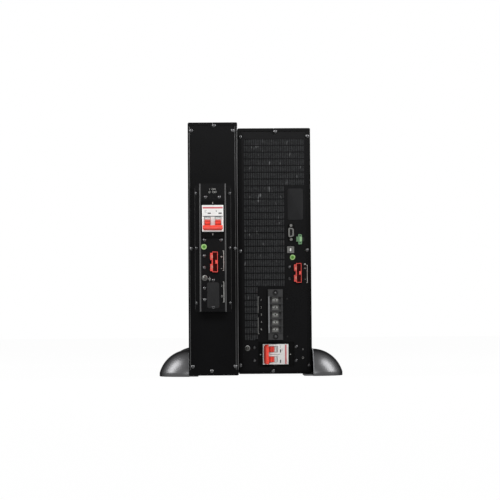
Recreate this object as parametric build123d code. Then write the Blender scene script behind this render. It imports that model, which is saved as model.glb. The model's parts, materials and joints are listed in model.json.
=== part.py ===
"""Rack-mount uninterruptible power supply with its battery module, standing upright on domed feet.

Rear panels face -Y, front bezels face +Y, +Z is up. Lengths are in millimetres.
The origin is at the middle of the bottom of the whole object.
"""
from build123d import *
import math
import os

# Chassis sheet metal
BODY_HEIGHT = 438.0
BATTERY_WIDTH = 86.0
BATTERY_LENGTH = 640.0
UPS_WIDTH = 130.0
UPS_LENGTH = 550.0
MODULE_GAP = 0.8
SHEET = 1.2
BEND_RADIUS = 2.4
REAR_EDGE_CUT = 1.2
FLANGE = 5.5
TAB_RADIUS = 5.0
TAB_SIDES = 12
TAB_INSET = 5.0
TAB_TOP_DROP = 13.5
TAB_BOTTOM_RISE = 15.5
TAB_MIDDLE_INSET = 6.0
SEAM_GAP = 0.4
LAP = 8.0
PANEL_FIT = 0.5

# Feet of the upright stand
FOOT_REACH = 54.0
FOOT_HEIGHT = 47.0
FOOT_SKIRT = 5.0
DOME_BANDS = 4
TONGUE_WIDTH = 15.0
TONGUE_LENGTH = 80.0
TONGUE_THICKNESS = 3.0
REAR_FOOT_IN = 3.0
FRONT_FOOT_SETBACK = 110.0

# Perforated vent in the rear panel of the power module
SLOT_PITCH_X = 6.35
SLOT_PITCH_Z = 12.0
SLOT_WIDTH = 4.2
SLOT_HEIGHT = 9.8
VENT_LEFT = 9.5
VENT_RIGHT = 12.2
VENT_DROP = 19.0
VENT_GAP = 4.4
VENT_SIDE_GAP = 6.8
VENT_LEGEND_GAP = 19.0
VENT_LOW_GAP = 2.0

# Two-pole breakers
POLE_PITCH = 18.0
NOSE_HEIGHT = 45.0
NOSE_OUT = 3.0
NOSE_BEVEL = 0.8
SHOULDER = 16.5
BREAKER_DEPTH = 46.0
BREAKER_FIT = 0.4
POLE_GROOVE = 0.7
PIVOT_DROP = 4.0
PIVOT_DEPTH = 4.0
PIN_RADIUS = 1.5
PIN_FIT = 0.05
PIN_SEAT_FIT = 0.02
DRUM_RADIUS = 6.4
DRUM_BACK = 3.0
DRUM_FIT = 1.0
NECK_WIDTH = 9.4
NECK_THICKNESS = 4.4
NECK_SIDE_FIT = 0.8
BAR_WIDTH = 34.4
BAR_LENGTH = 7.6
BAR_THICKNESS = 5.6
BAR_BEVEL = 1.2
BAR_CORNER = 3.4
BAR_RADIUS = 18.4
OFF_ANGLE = 42.0
PLATE_LAP = 5.0

# Raised connector box on the battery module
BOX_OUT = 45.0
BOX_RISE = 109.5
BOX_FLANGE = 9.5
BOX_BEND = 2.4
BOX_FACE_SIDE = 2.7
BOX_TOP_MARGIN = 29.2
BATTERY_WINDOW_SIDE = 2.0
BATTERY_WINDOW_ABOVE = 7.9
BATTERY_WINDOW_BELOW = 11.9
BATTERY_CONNECTOR_GAP = 21.9
BATTERY_CONNECTOR_X = 1.4
BLANK_GAP = 16.0
BLANK_WIDTH = 20.6
BLANK_HEIGHT = 44.0
CORNER_CUT = 1.4
BOX_BOTTOM_MARGIN = 6.0

# Holes for the earth screws
EARTH_HOLE_RADIUS = 2.15
BATTERY_EARTH_X = -14.3
UPS_EARTH_GAP = 18.9
UPS_EARTH_RISE = 11.2

# Direct-current connectors
CONNECTOR_HEIGHT = 36.6
CONNECTOR_OUT = 16.0
CONNECTOR_IN = 12.0
CONNECTOR_LEDGE = 2.0
CONNECTOR_FIT = 0.3
FRAME_WIDTH = 10.2
FRAME_WALL = 1.4
FRAME_CORNER = 2.2
KEY_LENGTH = 4.6
KEY_HEIGHT = 6.4
CAVITY_DEPTH = 15.0
TONGUE_REACH = 5.2
TONGUES_HEIGHT = 32.0
TONGUE_STEP = 3.0
TONGUE_NOTCH = 7.4
CONTACT_THICKNESS = 1.2
CONTACT_HEIGHT = 6.4
CONTACT_LENGTH = 20.0

# Option slot cover
COVER_WIDTH = 27.5
COVER_HEIGHT = 56.0
COVER_THICKNESS = 1.6
COVER_SIDE = 27.6
COVER_DROP = 108.4
COVER_LAP = 3.0

# Signal ports, in a column under the slot cover
SERIAL_FLANGE_WIDTH = 12.4
SERIAL_FLANGE_HEIGHT = 30.8
SERIAL_FLANGE = 0.9
SERIAL_SHELL_WIDTH = 9.0
SERIAL_SHELL_HEIGHT = 17.4
SERIAL_SHELL_SLANT = 2.0
SERIAL_SHELL_OUT = 5.8
SERIAL_SHELL_WALL = 1.2
SERIAL_POCKET = 4.5
SERIAL_NUT_PITCH = 25.0
SERIAL_NUT_RADIUS = 2.9
SERIAL_NUT_OUT = 5.0
SERIAL_BACK = 10.0
SERIAL_SIDE = 35.2
SERIAL_GAP = 6.6
USB_WIDTH = 12.0
USB_HEIGHT = 11.4
USB_WALL = 1.6
USB_OUT = 1.0
USB_DEPTH = 14.0
USB_TONGUE_WIDTH = 3.2
USB_TONGUE_HEIGHT = 5.6
USB_CAVITY = 9.0
USB_SIDE = 36.4
USB_GAP = 10.1
RELAY_WIDTH = 6.4
RELAY_HEIGHT = 19.6
RELAY_OUT = 8.0
RELAY_IN = 9.0
RELAY_LUG_WIDTH = 16.0
RELAY_LUG_HEIGHT = 9.4
RELAY_LUG_OUT = 4.0
RELAY_HOLE = 4.4
RELAY_HOLE_DEPTH = 6.0
RELAY_HOLE_PITCH = 9.0
RELAY_OFFSET = 16.7
RELAY_DROP = 12.6
PORT_FIT = 0.3
UPS_CONNECTOR_GAP = 17.7
UPS_CONNECTOR_SIDE = 23.1

# Input breaker of the power module
INPUT_BREAKER_X = 65.4
INPUT_BREAKER_RISE = 34.6
INPUT_WINDOW_SIDE = 4.0
INPUT_WINDOW_LEFT = 8.5
INPUT_WINDOW_RIGHT = 11.0

# Barrier terminal block above the input breaker
BLOCK_WIDTH = 26.0
BLOCK_OUT = 18.0
BLOCK_IN = 10.0
BLOCK_LEDGE = 3.0
BLOCK_GAP = 3.6
LANE_COUNT = 5
LANE_PITCH = 13.1
LANE_HEIGHT = 10.6
LANE_DEPTH = 13.0
LANE_WALL = 2.4
LANE_SILL = 2.8
LANE_SILL_DROP = 5.0
BLOCK_EAR = 12.0
BLOCK_EAR_DROP = 3.0
CLAMP_WIDTH = 11.0
CLAMP_HEIGHT = 9.4
CLAMP_THICKNESS = 2.0

# Insides of the power module
STAGE_SETBACK = 170.0
STAGE_FIT = 3.0
BOARD_THICKNESS = 1.6
BOARD_MARGIN = 29.0
BOARD_LENGTH = 130.0
BOARD_SETBACK = 30.0
STANDOFF_SIZE = 6.0
STANDOFF_LENGTH = 8.0
SINK_FIN_COUNT = 9
SINK_FIN_PITCH = 8.0
SINK_FIN = 1.8
SINK_BASE = 6.0
SINK_REACH = 50.0
SINK_LENGTH = 110.0
SINK_RISE = 230.0

# Battery cells, one sealed block
PACK_SETBACK = 60.0
PACK_FIT = 2.0

# Front bezels
BEZEL_DEPTH = 34.0
BEZEL_WALL = 3.0
BEZEL_ROUND = 6.0
BEZEL_VENT_MARGIN = 16.0
BEZEL_VENT_PITCH = 30.0
BEZEL_VENT_GAP = 17.0
BEZEL_VENT_RISE = 40.0
BATTERY_VENT_TOP = 40.0
UPS_VENT_TOP = 220.0
DISPLAY_WIDTH = 64.0
DISPLAY_HEIGHT = 84.0
DISPLAY_THICKNESS = 2.0
DISPLAY_FIT = 0.2
DISPLAY_DROP = 36.0
BUTTON_COUNT = 4
BUTTON_PITCH = 18.0
BUTTON_WIDTH = 12.0
BUTTON_HEIGHT = 7.0
BUTTON_OUT = 1.0
BUTTON_STEM = 6.0
BUTTON_FIT = 0.2
BUTTON_GAP = 60.0

# Sizes and places that follow from the values above
PAIR_WIDTH = BATTERY_WIDTH + MODULE_GAP + UPS_WIDTH
BATTERY_X = -PAIR_WIDTH / 2
UPS_X = BATTERY_X + BATTERY_WIDTH + MODULE_GAP
UPS_REAR = BATTERY_LENGTH - UPS_LENGTH
BASE_Z = TONGUE_THICKNESS
NOSE_WIDTH = 2 * POLE_PITCH
NOSE_DEPTH = NOSE_OUT + 2 * SHEET
BREAKER_HEIGHT = NOSE_HEIGHT + 2 * SHOULDER
BATTERY_WINDOW_WIDTH = NOSE_WIDTH + 2 * BATTERY_WINDOW_SIDE
BATTERY_WINDOW_HEIGHT = BATTERY_WINDOW_ABOVE + NOSE_HEIGHT + BATTERY_WINDOW_BELOW
INPUT_WINDOW_HEIGHT = NOSE_WIDTH + 2 * INPUT_WINDOW_SIDE
BOX_WIDTH = BATTERY_WINDOW_WIDTH + 2 * BOX_FACE_SIDE
BOX_HEIGHT = (BOX_TOP_MARGIN + BATTERY_WINDOW_HEIGHT + BATTERY_CONNECTOR_GAP + CONNECTOR_HEIGHT
              + BLANK_GAP + BLANK_HEIGHT + BOX_BOTTOM_MARGIN)
BLANK_Z = BOX_BOTTOM_MARGIN + BLANK_HEIGHT / 2
BATTERY_EARTH_Z = BLANK_Z + BLANK_HEIGHT / 2 + BLANK_GAP / 2
BATTERY_CONNECTOR_Z = BLANK_Z + BLANK_HEIGHT / 2 + BLANK_GAP + CONNECTOR_HEIGHT / 2
BATTERY_BREAKER_Z = BOX_HEIGHT - BOX_TOP_MARGIN - BATTERY_WINDOW_ABOVE - NOSE_HEIGHT / 2
INPUT_WINDOW_START = INPUT_BREAKER_X - NOSE_HEIGHT / 2 - INPUT_WINDOW_LEFT
INPUT_WINDOW_END = INPUT_BREAKER_X + NOSE_HEIGHT / 2 + INPUT_WINDOW_RIGHT
UPS_EARTH_X = INPUT_WINDOW_START - UPS_EARTH_GAP
UPS_EARTH_Z = INPUT_BREAKER_RISE + UPS_EARTH_RISE
CONNECTOR_WIDTH = FRAME_WIDTH + TONGUE_REACH
BLOCK_HEIGHT = LANE_COUNT * LANE_PITCH + 2 * BLOCK_EAR
BLOCK_RISE = INPUT_BREAKER_RISE + INPUT_WINDOW_HEIGHT / 2 + BLOCK_GAP + BLOCK_HEIGHT / 2
COVER_X = UPS_WIDTH - COVER_SIDE
COVER_RISE = BODY_HEIGHT - COVER_DROP - COVER_HEIGHT / 2
SERIAL_X = UPS_WIDTH - SERIAL_SIDE
SERIAL_RISE = COVER_RISE - COVER_HEIGHT / 2 - SERIAL_GAP - SERIAL_FLANGE_HEIGHT / 2
RELAY_X = SERIAL_X + RELAY_OFFSET
RELAY_RISE = SERIAL_RISE - RELAY_DROP
USB_X = UPS_WIDTH - USB_SIDE
USB_RISE = SERIAL_RISE - SERIAL_FLANGE_HEIGHT / 2 - USB_GAP - USB_HEIGHT / 2
UPS_CONNECTOR_X = UPS_WIDTH - UPS_CONNECTOR_SIDE
UPS_CONNECTOR_RISE = USB_RISE - USB_HEIGHT / 2 - UPS_CONNECTOR_GAP - CONNECTOR_HEIGHT / 2


def along_y(profile, y_start, y_end):
    """Extrude a profile drawn in X and Z from one depth to another."""
    return Pos(0, y_end, 0) * extrude(Plane.XZ * profile, y_end - y_start)


def block(x_span, y_span, z_span):
    """Box given by its limits along each axis."""
    spans = (x_span, y_span, z_span)
    size = [span[1] - span[0] for span in spans]
    middle = [(span[1] + span[0]) / 2 for span in spans]
    return Pos(*middle) * Box(*size)


def both(half):
    """Span from minus to plus a half size."""
    return (-half, half)


def rectangle_wire(x_middle, z_middle, width, height):
    """Closed rectangular wire in the plane y = 0."""
    left = x_middle - width / 2
    low = z_middle - height / 2
    corners = [(left, 0, low), (left + width, 0, low),
               (left + width, 0, low + height), (left, 0, low + height)]
    return Wire.make_polygon(corners, close=True)


def tab_points(width):
    """Panel screw places on the rear flange, from the middle of the module."""
    side = width / 2 - TAB_INSET
    top = BODY_HEIGHT / 2
    heights = [top - TAB_TOP_DROP, 0, TAB_BOTTOM_RISE - top]
    points = [(sign * side, height) for sign in (-1, 1) for height in heights]
    points.append((0, top - TAB_MIDDLE_INSET))
    points.append((0, TAB_MIDDLE_INSET - top))
    return points


def half_shells(width, length):
    """Bent sheet cover and chassis tray that lap along the middle of the narrow walls."""
    outer = RectangleRounded(width, BODY_HEIGHT, BEND_RADIUS)
    inner = RectangleRounded(width - 2 * SHEET, BODY_HEIGHT - 2 * SHEET, BEND_RADIUS - SHEET)
    tabs = [Pos(x, z) * RegularPolygon(TAB_RADIUS, TAB_SIDES) for x, z in tab_points(width)]
    mouth = Rectangle(width - 2 * FLANGE, BODY_HEIGHT - 2 * FLANGE) - tabs
    tube = along_y(outer - inner, 0, length) + along_y(outer - mouth, 0, SHEET)
    tube = chamfer(tube.faces().sort_by(Axis.Y)[0].outer_wire().edges(), REAR_EDGE_CUT)
    reach = width + BODY_HEIGHT
    whole_length = (-reach, length + reach)
    cover = tube - block((-SEAM_GAP / 2, reach), whole_length, both(reach))
    tray = tube - block((-reach, SEAM_GAP / 2), whole_length, both(reach))
    lip_high = BODY_HEIGHT / 2 - SHEET
    lip = block(both(LAP), (2 * SHEET + PANEL_FIT, length), (lip_high - SHEET, lip_high))
    tray = tray + lip + mirror(lip, about=Plane.XY)
    return cover, tray


def rear_panel(width, holes):
    """Flat rear panel behind the flange, with the given holes."""
    inset = 2 * (SHEET + PANEL_FIT)
    outline = rectangle_wire(0, 0, width - inset, BODY_HEIGHT - inset)
    return Pos(0, SHEET, 0) * extrude(Face(outline, holes), amount=SHEET, dir=(0, 1, 0))


def whole_steps(room, pitch):
    """How many whole pitches go into the room."""
    return math.floor(room / pitch + 0.001)


def vent_wires():
    """Slots of the vent in three blocks that share one left edge and stop short of the ports."""
    top = BODY_HEIGHT - VENT_DROP
    block_top = BLOCK_RISE + BLOCK_HEIGHT / 2
    window_top = INPUT_BREAKER_RISE + INPUT_WINDOW_HEIGHT / 2
    limits = [(UPS_WIDTH - VENT_RIGHT, COVER_RISE + COVER_HEIGHT / 2 + VENT_GAP),
              (COVER_X - COVER_WIDTH / 2 - VENT_SIDE_GAP, block_top + VENT_GAP),
              (INPUT_BREAKER_X - BLOCK_WIDTH / 2 - VENT_LEGEND_GAP, window_top + VENT_LOW_GAP)]
    wires = []
    first_row = 0
    for right, low in limits:
        columns = whole_steps(right - VENT_LEFT, SLOT_PITCH_X)
        last_row = whole_steps(top - low, SLOT_PITCH_Z)
        for row in range(first_row, last_row):
            z = top - (row + 0.5) * SLOT_PITCH_Z - BODY_HEIGHT / 2
            for column in range(columns):
                x = VENT_LEFT + (column + 0.5) * SLOT_PITCH_X - UPS_WIDTH / 2
                wires.append(rectangle_wire(x, z, SLOT_WIDTH, SLOT_HEIGHT))
        first_row = max(first_row, last_row)
    return wires


def at_pivot(shape):
    """Put a shape made about the pivot line in its place in the breaker."""
    return Pos(0, PIVOT_DEPTH, -PIVOT_DROP) * shape


def breaker_body():
    """Two-pole breaker with its nose face at y = 0 and the toggle windows open to the front."""
    nose = block(both(NOSE_WIDTH / 2), (0, NOSE_DEPTH), both(NOSE_HEIGHT / 2))
    nose = chamfer(nose.faces().sort_by(Axis.Y)[0].edges(), NOSE_BEVEL)
    base = block(both(NOSE_WIDTH / 2), (NOSE_DEPTH, NOSE_DEPTH + BREAKER_DEPTH), both(BREAKER_HEIGHT / 2))
    body = nose + base
    window = DRUM_RADIUS + DRUM_FIT
    half = NECK_WIDTH / 2 + NECK_SIDE_FIT
    for x in both(POLE_PITCH / 2):
        body -= at_pivot(block((x - half, x + half), (-2 * PIVOT_DEPTH, window), both(window)))
    body -= block(both(POLE_GROOVE / 2), (-POLE_GROOVE, POLE_GROOVE), both(NOSE_HEIGHT))
    seat = PIN_RADIUS + PIN_SEAT_FIT
    return body - at_pivot(block(both(NOSE_WIDTH), both(seat), both(seat)))


def breaker_pin():
    """Pivot pin across both poles."""
    return at_pivot(Rot(0, 90, 0) * Cylinder(PIN_RADIUS, NOSE_WIDTH))


def breaker_handle():
    """Two toggles on drums, joined by a tie bar, turned down to the off place."""
    bar = block(both(BAR_WIDTH / 2), (-BAR_RADIUS - BAR_LENGTH / 2, -BAR_RADIUS + BAR_LENGTH / 2),
                both(BAR_THICKNESS / 2))
    tip = bar.faces().sort_by(Axis.Y)[0]
    bar = chamfer(tip.edges().filter_by(Axis.Z), BAR_CORNER)
    handle = chamfer(bar.edges().filter_by(Axis.X), BAR_BEVEL)
    for x in both(POLE_PITCH / 2):
        drum = Pos(x, 0, 0) * Rot(0, 90, 0) * Cylinder(DRUM_RADIUS, NECK_WIDTH)
        drum -= block((x - NECK_WIDTH, x + NECK_WIDTH), (DRUM_BACK, 2 * DRUM_RADIUS), both(DRUM_RADIUS))
        neck = block((x - NECK_WIDTH / 2, x + NECK_WIDTH / 2), (-BAR_RADIUS, 0), both(NECK_THICKNESS / 2))
        handle += drum + neck
    handle -= Rot(0, 90, 0) * Cylinder(PIN_RADIUS + PIN_FIT, 2 * NOSE_WIDTH)
    return at_pivot(Rot(OFF_ANGLE, 0, 0) * handle)


def breaker_plate(side, above, below):
    """Plate behind a window, with the hole that the breaker nose comes through."""
    plate = block(both(NOSE_WIDTH / 2 + side), (0, SHEET),
                  (-NOSE_HEIGHT / 2 - below - PLATE_LAP, NOSE_HEIGHT / 2 + above + PLATE_LAP))
    hole = block(both(NOSE_WIDTH / 2 + BREAKER_FIT), both(2 * SHEET), both(NOSE_HEIGHT / 2 + BREAKER_FIT))
    return plate - hole


def connector_frame_x():
    """Left and right limits of the contact frame of a connector."""
    return TONGUE_REACH - CONNECTOR_WIDTH / 2, CONNECTOR_WIDTH / 2


def dc_connector():
    """Two-pole connector: a keyed contact frame on the right, two tongues on the left."""
    left, right = connector_frame_x()
    frame = block((left, right), (-CONNECTOR_OUT, 0), both(CONNECTOR_HEIGHT / 2))
    frame = chamfer(frame.edges().filter_by(Axis.Y).group_by(Axis.X)[0], FRAME_CORNER)
    tongues = block((left - TONGUE_REACH, left), (TONGUE_STEP - CONNECTOR_OUT, 0),
                    both(TONGUES_HEIGHT / 2))
    notch = block((left - 2 * TONGUE_REACH, left), (-CONNECTOR_OUT, 2 * CONNECTOR_IN), both(TONGUE_NOTCH / 2))
    floor = CAVITY_DEPTH - CONNECTOR_OUT
    cavity = block((left + FRAME_WALL, right - FRAME_WALL), (-2 * CONNECTOR_OUT, floor),
                   both(CONNECTOR_HEIGHT / 2 - FRAME_WALL))
    cavity -= block((right - FRAME_WALL - KEY_LENGTH, right), (-CONNECTOR_OUT, floor), both(KEY_HEIGHT / 2))
    back = block(both(CONNECTOR_WIDTH / 2 - CONNECTOR_LEDGE), (0, CONNECTOR_IN),
                 both(TONGUES_HEIGHT / 2 - CONNECTOR_LEDGE))
    body = frame + tongues + back - notch - cavity
    for low, high in throat_heights():
        body -= block((left + FRAME_WALL, right - CONNECTOR_LEDGE - FRAME_WALL),
                      (-CONNECTOR_OUT, CONNECTOR_IN - FRAME_WALL), (low, high))
    return body


def throat_heights():
    """Lower and upper limits of the two deep throats behind the contact frame."""
    near = KEY_HEIGHT / 2
    far = TONGUES_HEIGHT / 2 - CONNECTOR_LEDGE - FRAME_WALL
    return (-far, -near), (near, far)


def dc_contacts():
    """Contact blade against the left wall of each throat."""
    left = connector_frame_x()[0] + FRAME_WALL
    floor = CONNECTOR_IN - FRAME_WALL
    middle = sum(throat_heights()[1]) / 2
    return [block((left, left + CONTACT_THICKNESS), (floor - CONTACT_LENGTH, floor),
                  (z - CONTACT_HEIGHT / 2, z + CONTACT_HEIGHT / 2)) for z in both(middle)]


def connector_seat():
    """Width and height of the panel hole that takes the back of a connector."""
    inset = 2 * (CONNECTOR_LEDGE - CONNECTOR_FIT)
    return CONNECTOR_WIDTH - inset, TONGUES_HEIGHT - inset


def connector_box():
    """Folded channel with side flanges and end flaps that carries the breaker and the connector."""
    half = BOX_WIDTH / 2
    outer = block(both(half), (-BOX_OUT, 0), both(BOX_HEIGHT / 2))
    outer = fillet(outer.edges().filter_by(Axis.Z).group_by(Axis.Y)[0], BOX_BEND)
    inner = block(both(half - SHEET), (SHEET - BOX_OUT, BOX_OUT), both(BOX_HEIGHT / 2 - SHEET))
    inner = fillet(inner.edges().filter_by(Axis.Z).group_by(Axis.Y)[0], BOX_BEND - SHEET)
    box = outer - inner
    for edge, tip in ((-half + SHEET, -half - BOX_FLANGE), (half - SHEET, half + BOX_FLANGE)):
        box += block((min(edge, tip), max(edge, tip)), (-SHEET, 0), both(BOX_HEIGHT / 2))
    return box


def cover_plate(width, height, thickness):
    """Flat cover with its corners cut off, lying on y = 0."""
    plate = block(both(width / 2), (-thickness, 0), both(height / 2))
    return chamfer(plate.edges().filter_by(Axis.Y), CORNER_CUT)


def slanted_shell(inset):
    """Outline of the serial shell, slanted towards its right side."""
    half_width = SERIAL_SHELL_WIDTH / 2 - inset
    half_height = SERIAL_SHELL_HEIGHT / 2 - inset
    short = half_height - SERIAL_SHELL_SLANT
    return Polygon((-half_width, -half_height), (half_width, -short), (half_width, short),
                   (-half_width, half_height), align=None)


def serial_port():
    """Nine-pole port: flange, slanted shell and two hexagon nuts."""
    port = block(both(SERIAL_FLANGE_WIDTH / 2), (-SERIAL_FLANGE, 0), both(SERIAL_FLANGE_HEIGHT / 2))
    port += along_y(slanted_shell(0), -SERIAL_SHELL_OUT, SERIAL_BACK)
    floor = SERIAL_POCKET - SERIAL_SHELL_OUT
    port -= along_y(slanted_shell(SERIAL_SHELL_WALL), -2 * SERIAL_SHELL_OUT, floor)
    for z in both(SERIAL_NUT_PITCH / 2):
        port += along_y(Pos(0, z) * RegularPolygon(SERIAL_NUT_RADIUS, 6), -SERIAL_NUT_OUT, 0)
    return port


def usb_port():
    """Square port with its tongue."""
    port = block(both(USB_WIDTH / 2), (-USB_OUT, USB_DEPTH), both(USB_HEIGHT / 2))
    port -= block(both(USB_WIDTH / 2 - USB_WALL), (-2 * USB_OUT, USB_CAVITY),
                  both(USB_HEIGHT / 2 - USB_WALL))
    return port + block(both(USB_TONGUE_WIDTH / 2), (0, USB_CAVITY), both(USB_TONGUE_HEIGHT / 2))


def relay_terminal():
    """Two-pole plug-in terminal with side lugs."""
    body = block(both(RELAY_WIDTH / 2), (-RELAY_OUT, RELAY_IN), both(RELAY_HEIGHT / 2))
    body += block(both(RELAY_LUG_WIDTH / 2), (-RELAY_LUG_OUT, 0), both(RELAY_LUG_HEIGHT / 2))
    for z in both(RELAY_HOLE_PITCH / 2):
        body -= block(both(RELAY_HOLE / 2), (-2 * RELAY_OUT, RELAY_HOLE_DEPTH - RELAY_OUT),
                      (z - RELAY_HOLE / 2, z + RELAY_HOLE / 2))
    return body


def lane_heights():
    """Middle heights of the terminal lanes."""
    return [(index - (LANE_COUNT - 1) / 2) * LANE_PITCH for index in range(LANE_COUNT)]


def terminal_block():
    """Barrier block: a lane for each terminal, a low sill on its right, a screw ear at each end."""
    half = BLOCK_WIDTH / 2
    body = block(both(half), (-BLOCK_OUT, 0), both(BLOCK_HEIGHT / 2))
    for z in lane_heights():
        span = (z - LANE_HEIGHT / 2, z + LANE_HEIGHT / 2)
        body -= block((LANE_WALL - half, half - LANE_SILL), (-2 * BLOCK_OUT, LANE_DEPTH - BLOCK_OUT), span)
        body -= block((0, BLOCK_WIDTH), (-2 * BLOCK_OUT, LANE_SILL_DROP - BLOCK_OUT), span)
    lanes = LANE_COUNT * LANE_PITCH / 2
    for low, high in ((-BLOCK_HEIGHT, -lanes), (lanes, BLOCK_HEIGHT)):
        body -= block(both(BLOCK_WIDTH), (-2 * BLOCK_OUT, BLOCK_EAR_DROP - BLOCK_OUT), (low, high))
    return body + block(both(half - BLOCK_LEDGE), (0, BLOCK_IN), both(lanes - BLOCK_LEDGE))


def terminal_clamps():
    """Clamp plate on the floor of each lane."""
    floor = LANE_DEPTH - BLOCK_OUT
    middle = (LANE_WALL - LANE_SILL) / 2
    return [block((middle - CLAMP_WIDTH / 2, middle + CLAMP_WIDTH / 2), (floor - CLAMP_THICKNESS, floor),
                  (z - CLAMP_HEIGHT / 2, z + CLAMP_HEIGHT / 2)) for z in lane_heights()]


def stand_foot():
    """Half of a domed foot, flat against the right wall of a module, with a tongue under it."""
    rise = FOOT_HEIGHT - FOOT_SKIRT
    dome_radius = (FOOT_REACH ** 2 + rise ** 2) / (2 * rise)
    middle = FOOT_HEIGHT - dome_radius
    first = math.asin((FOOT_SKIRT - middle) / dome_radius)
    outline = [(0, 0), (FOOT_REACH, 0)]
    for band in range(DOME_BANDS):
        angle = first + (math.pi / 2 - first) * band / DOME_BANDS
        outline.append((dome_radius * math.cos(angle), middle + dome_radius * math.sin(angle)))
    outline.append((0, FOOT_HEIGHT))
    foot = Rot(0, 0, -90) * revolve(Plane.XZ * Polygon(*outline, align=None), Axis.Z, 180)
    return foot + block((-TONGUE_WIDTH, 0), both(TONGUE_LENGTH / 2), (0, TONGUE_THICKNESS))


def bezel(width, vent_top):
    """Moulded front cover with a column of vent slots."""
    shape = block(both(width / 2), (0, BEZEL_DEPTH), both(BODY_HEIGHT / 2))
    shape = fillet(shape.edges().filter_by(Axis.Z).group_by(Axis.Y)[-1], BEZEL_ROUND)
    shape -= block(both(width / 2 - BEZEL_WALL), (-BEZEL_DEPTH, BEZEL_DEPTH - BEZEL_WALL),
                   both(BODY_HEIGHT / 2 - BEZEL_WALL))
    for index in range(whole_steps(BODY_HEIGHT - BEZEL_VENT_RISE - vent_top, BEZEL_VENT_PITCH)):
        low = BEZEL_VENT_RISE + index * BEZEL_VENT_PITCH - BODY_HEIGHT / 2
        shape -= block(both(width / 2 - BEZEL_VENT_MARGIN), (BEZEL_DEPTH - 2 * BEZEL_WALL, 2 * BEZEL_DEPTH),
                       (low, low + BEZEL_VENT_GAP))
    return shape


def display_space(fit):
    """Space of the display window in the front of the bezel."""
    top = BODY_HEIGHT / 2 - DISPLAY_DROP
    return block(both(DISPLAY_WIDTH / 2 + fit), (BEZEL_DEPTH - DISPLAY_THICKNESS, BEZEL_DEPTH),
                 (top - DISPLAY_HEIGHT - fit, top + fit))


def button_spaces(fit, back):
    """Spaces of the push buttons in a row under the display."""
    z = BODY_HEIGHT / 2 - DISPLAY_DROP - DISPLAY_HEIGHT - BUTTON_GAP
    middles = [(index - (BUTTON_COUNT - 1) / 2) * BUTTON_PITCH for index in range(BUTTON_COUNT)]
    return [block((x - BUTTON_WIDTH / 2 - fit, x + BUTTON_WIDTH / 2 + fit),
                  (BEZEL_DEPTH - back, BEZEL_DEPTH + BUTTON_OUT),
                  (z - BUTTON_HEIGHT / 2 - fit, z + BUTTON_HEIGHT / 2 + fit)) for x in middles]


def build_battery():
    """All pieces of the battery module, from the middle of its rear face."""
    pieces = {}
    pieces["battery_cover"], pieces["battery_chassis"] = half_shells(BATTERY_WIDTH, BATTERY_LENGTH)
    box_z = BOX_RISE - BODY_HEIGHT / 2 + BOX_HEIGHT / 2
    mouth = rectangle_wire(0, box_z, BOX_WIDTH - 2 * SHEET, BOX_HEIGHT - 2 * SHEET)
    pieces["battery_rear_panel"] = rear_panel(BATTERY_WIDTH, [mouth])

    def on_face(x, rise):
        return Pos(x, -BOX_OUT, rise - BOX_HEIGHT / 2)

    to_box = Pos(0, SHEET, box_z)
    to_breaker = on_face(0, BATTERY_BREAKER_Z)
    to_connector = on_face(BATTERY_CONNECTOR_X, BATTERY_CONNECTOR_Z)
    seat_width, seat_height = connector_seat()
    window = block(both(BATTERY_WINDOW_WIDTH / 2), both(2 * SHEET),
                   (-NOSE_HEIGHT / 2 - BATTERY_WINDOW_BELOW, NOSE_HEIGHT / 2 + BATTERY_WINDOW_ABOVE))
    seat = block(both(seat_width / 2), both(2 * SHEET), both(seat_height / 2))
    earth = on_face(BATTERY_EARTH_X, BATTERY_EARTH_Z) * Rot(90, 0, 0) * Cylinder(EARTH_HOLE_RADIUS, 4 * SHEET)
    box = connector_box() - to_breaker * window - to_connector * seat - earth
    pieces["connector_box"] = to_box * box
    plate = breaker_plate(BATTERY_WINDOW_SIDE, BATTERY_WINDOW_ABOVE, BATTERY_WINDOW_BELOW)
    pieces["battery_breaker_plate"] = to_box * to_breaker * Pos(0, SHEET, 0) * plate
    to_nose = to_box * to_breaker * Pos(0, -NOSE_OUT, 0)
    pieces["battery_breaker_body"] = to_nose * breaker_body()
    pieces["battery_breaker_handle"] = to_nose * breaker_handle()
    pieces["breaker_pins"] = to_nose * breaker_pin()
    pieces["battery_dc_connector"] = to_box * to_connector * dc_connector()
    pieces["battery_dc_contacts"] = [to_box * to_connector * blade for blade in dc_contacts()]
    blank = cover_plate(BLANK_WIDTH, BLANK_HEIGHT, SHEET)
    pieces["blank_cover"] = to_box * on_face(0, BLANK_Z) * blank
    pieces["battery_cell_pack"] = block(
        both(BATTERY_WIDTH / 2 - SHEET - PACK_FIT), (PACK_SETBACK, BATTERY_LENGTH - PACK_FIT),
        (2 * SHEET - BODY_HEIGHT / 2, BODY_HEIGHT / 2 - 2 * SHEET - PACK_FIT))
    pieces["battery_front_bezel"] = Pos(0, BATTERY_LENGTH, 0) * bezel(BATTERY_WIDTH, BATTERY_VENT_TOP)
    return pieces


def on_panel(x, rise):
    """Place on the outer face of the rear panel of the power module, from its left and bottom edges."""
    return Pos(x - UPS_WIDTH / 2, SHEET, rise - BODY_HEIGHT / 2)


def panel_hole(x, rise, width, height):
    """Rectangular hole in the rear panel of the power module."""
    return rectangle_wire(x - UPS_WIDTH / 2, rise - BODY_HEIGHT / 2, width, height)


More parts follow.
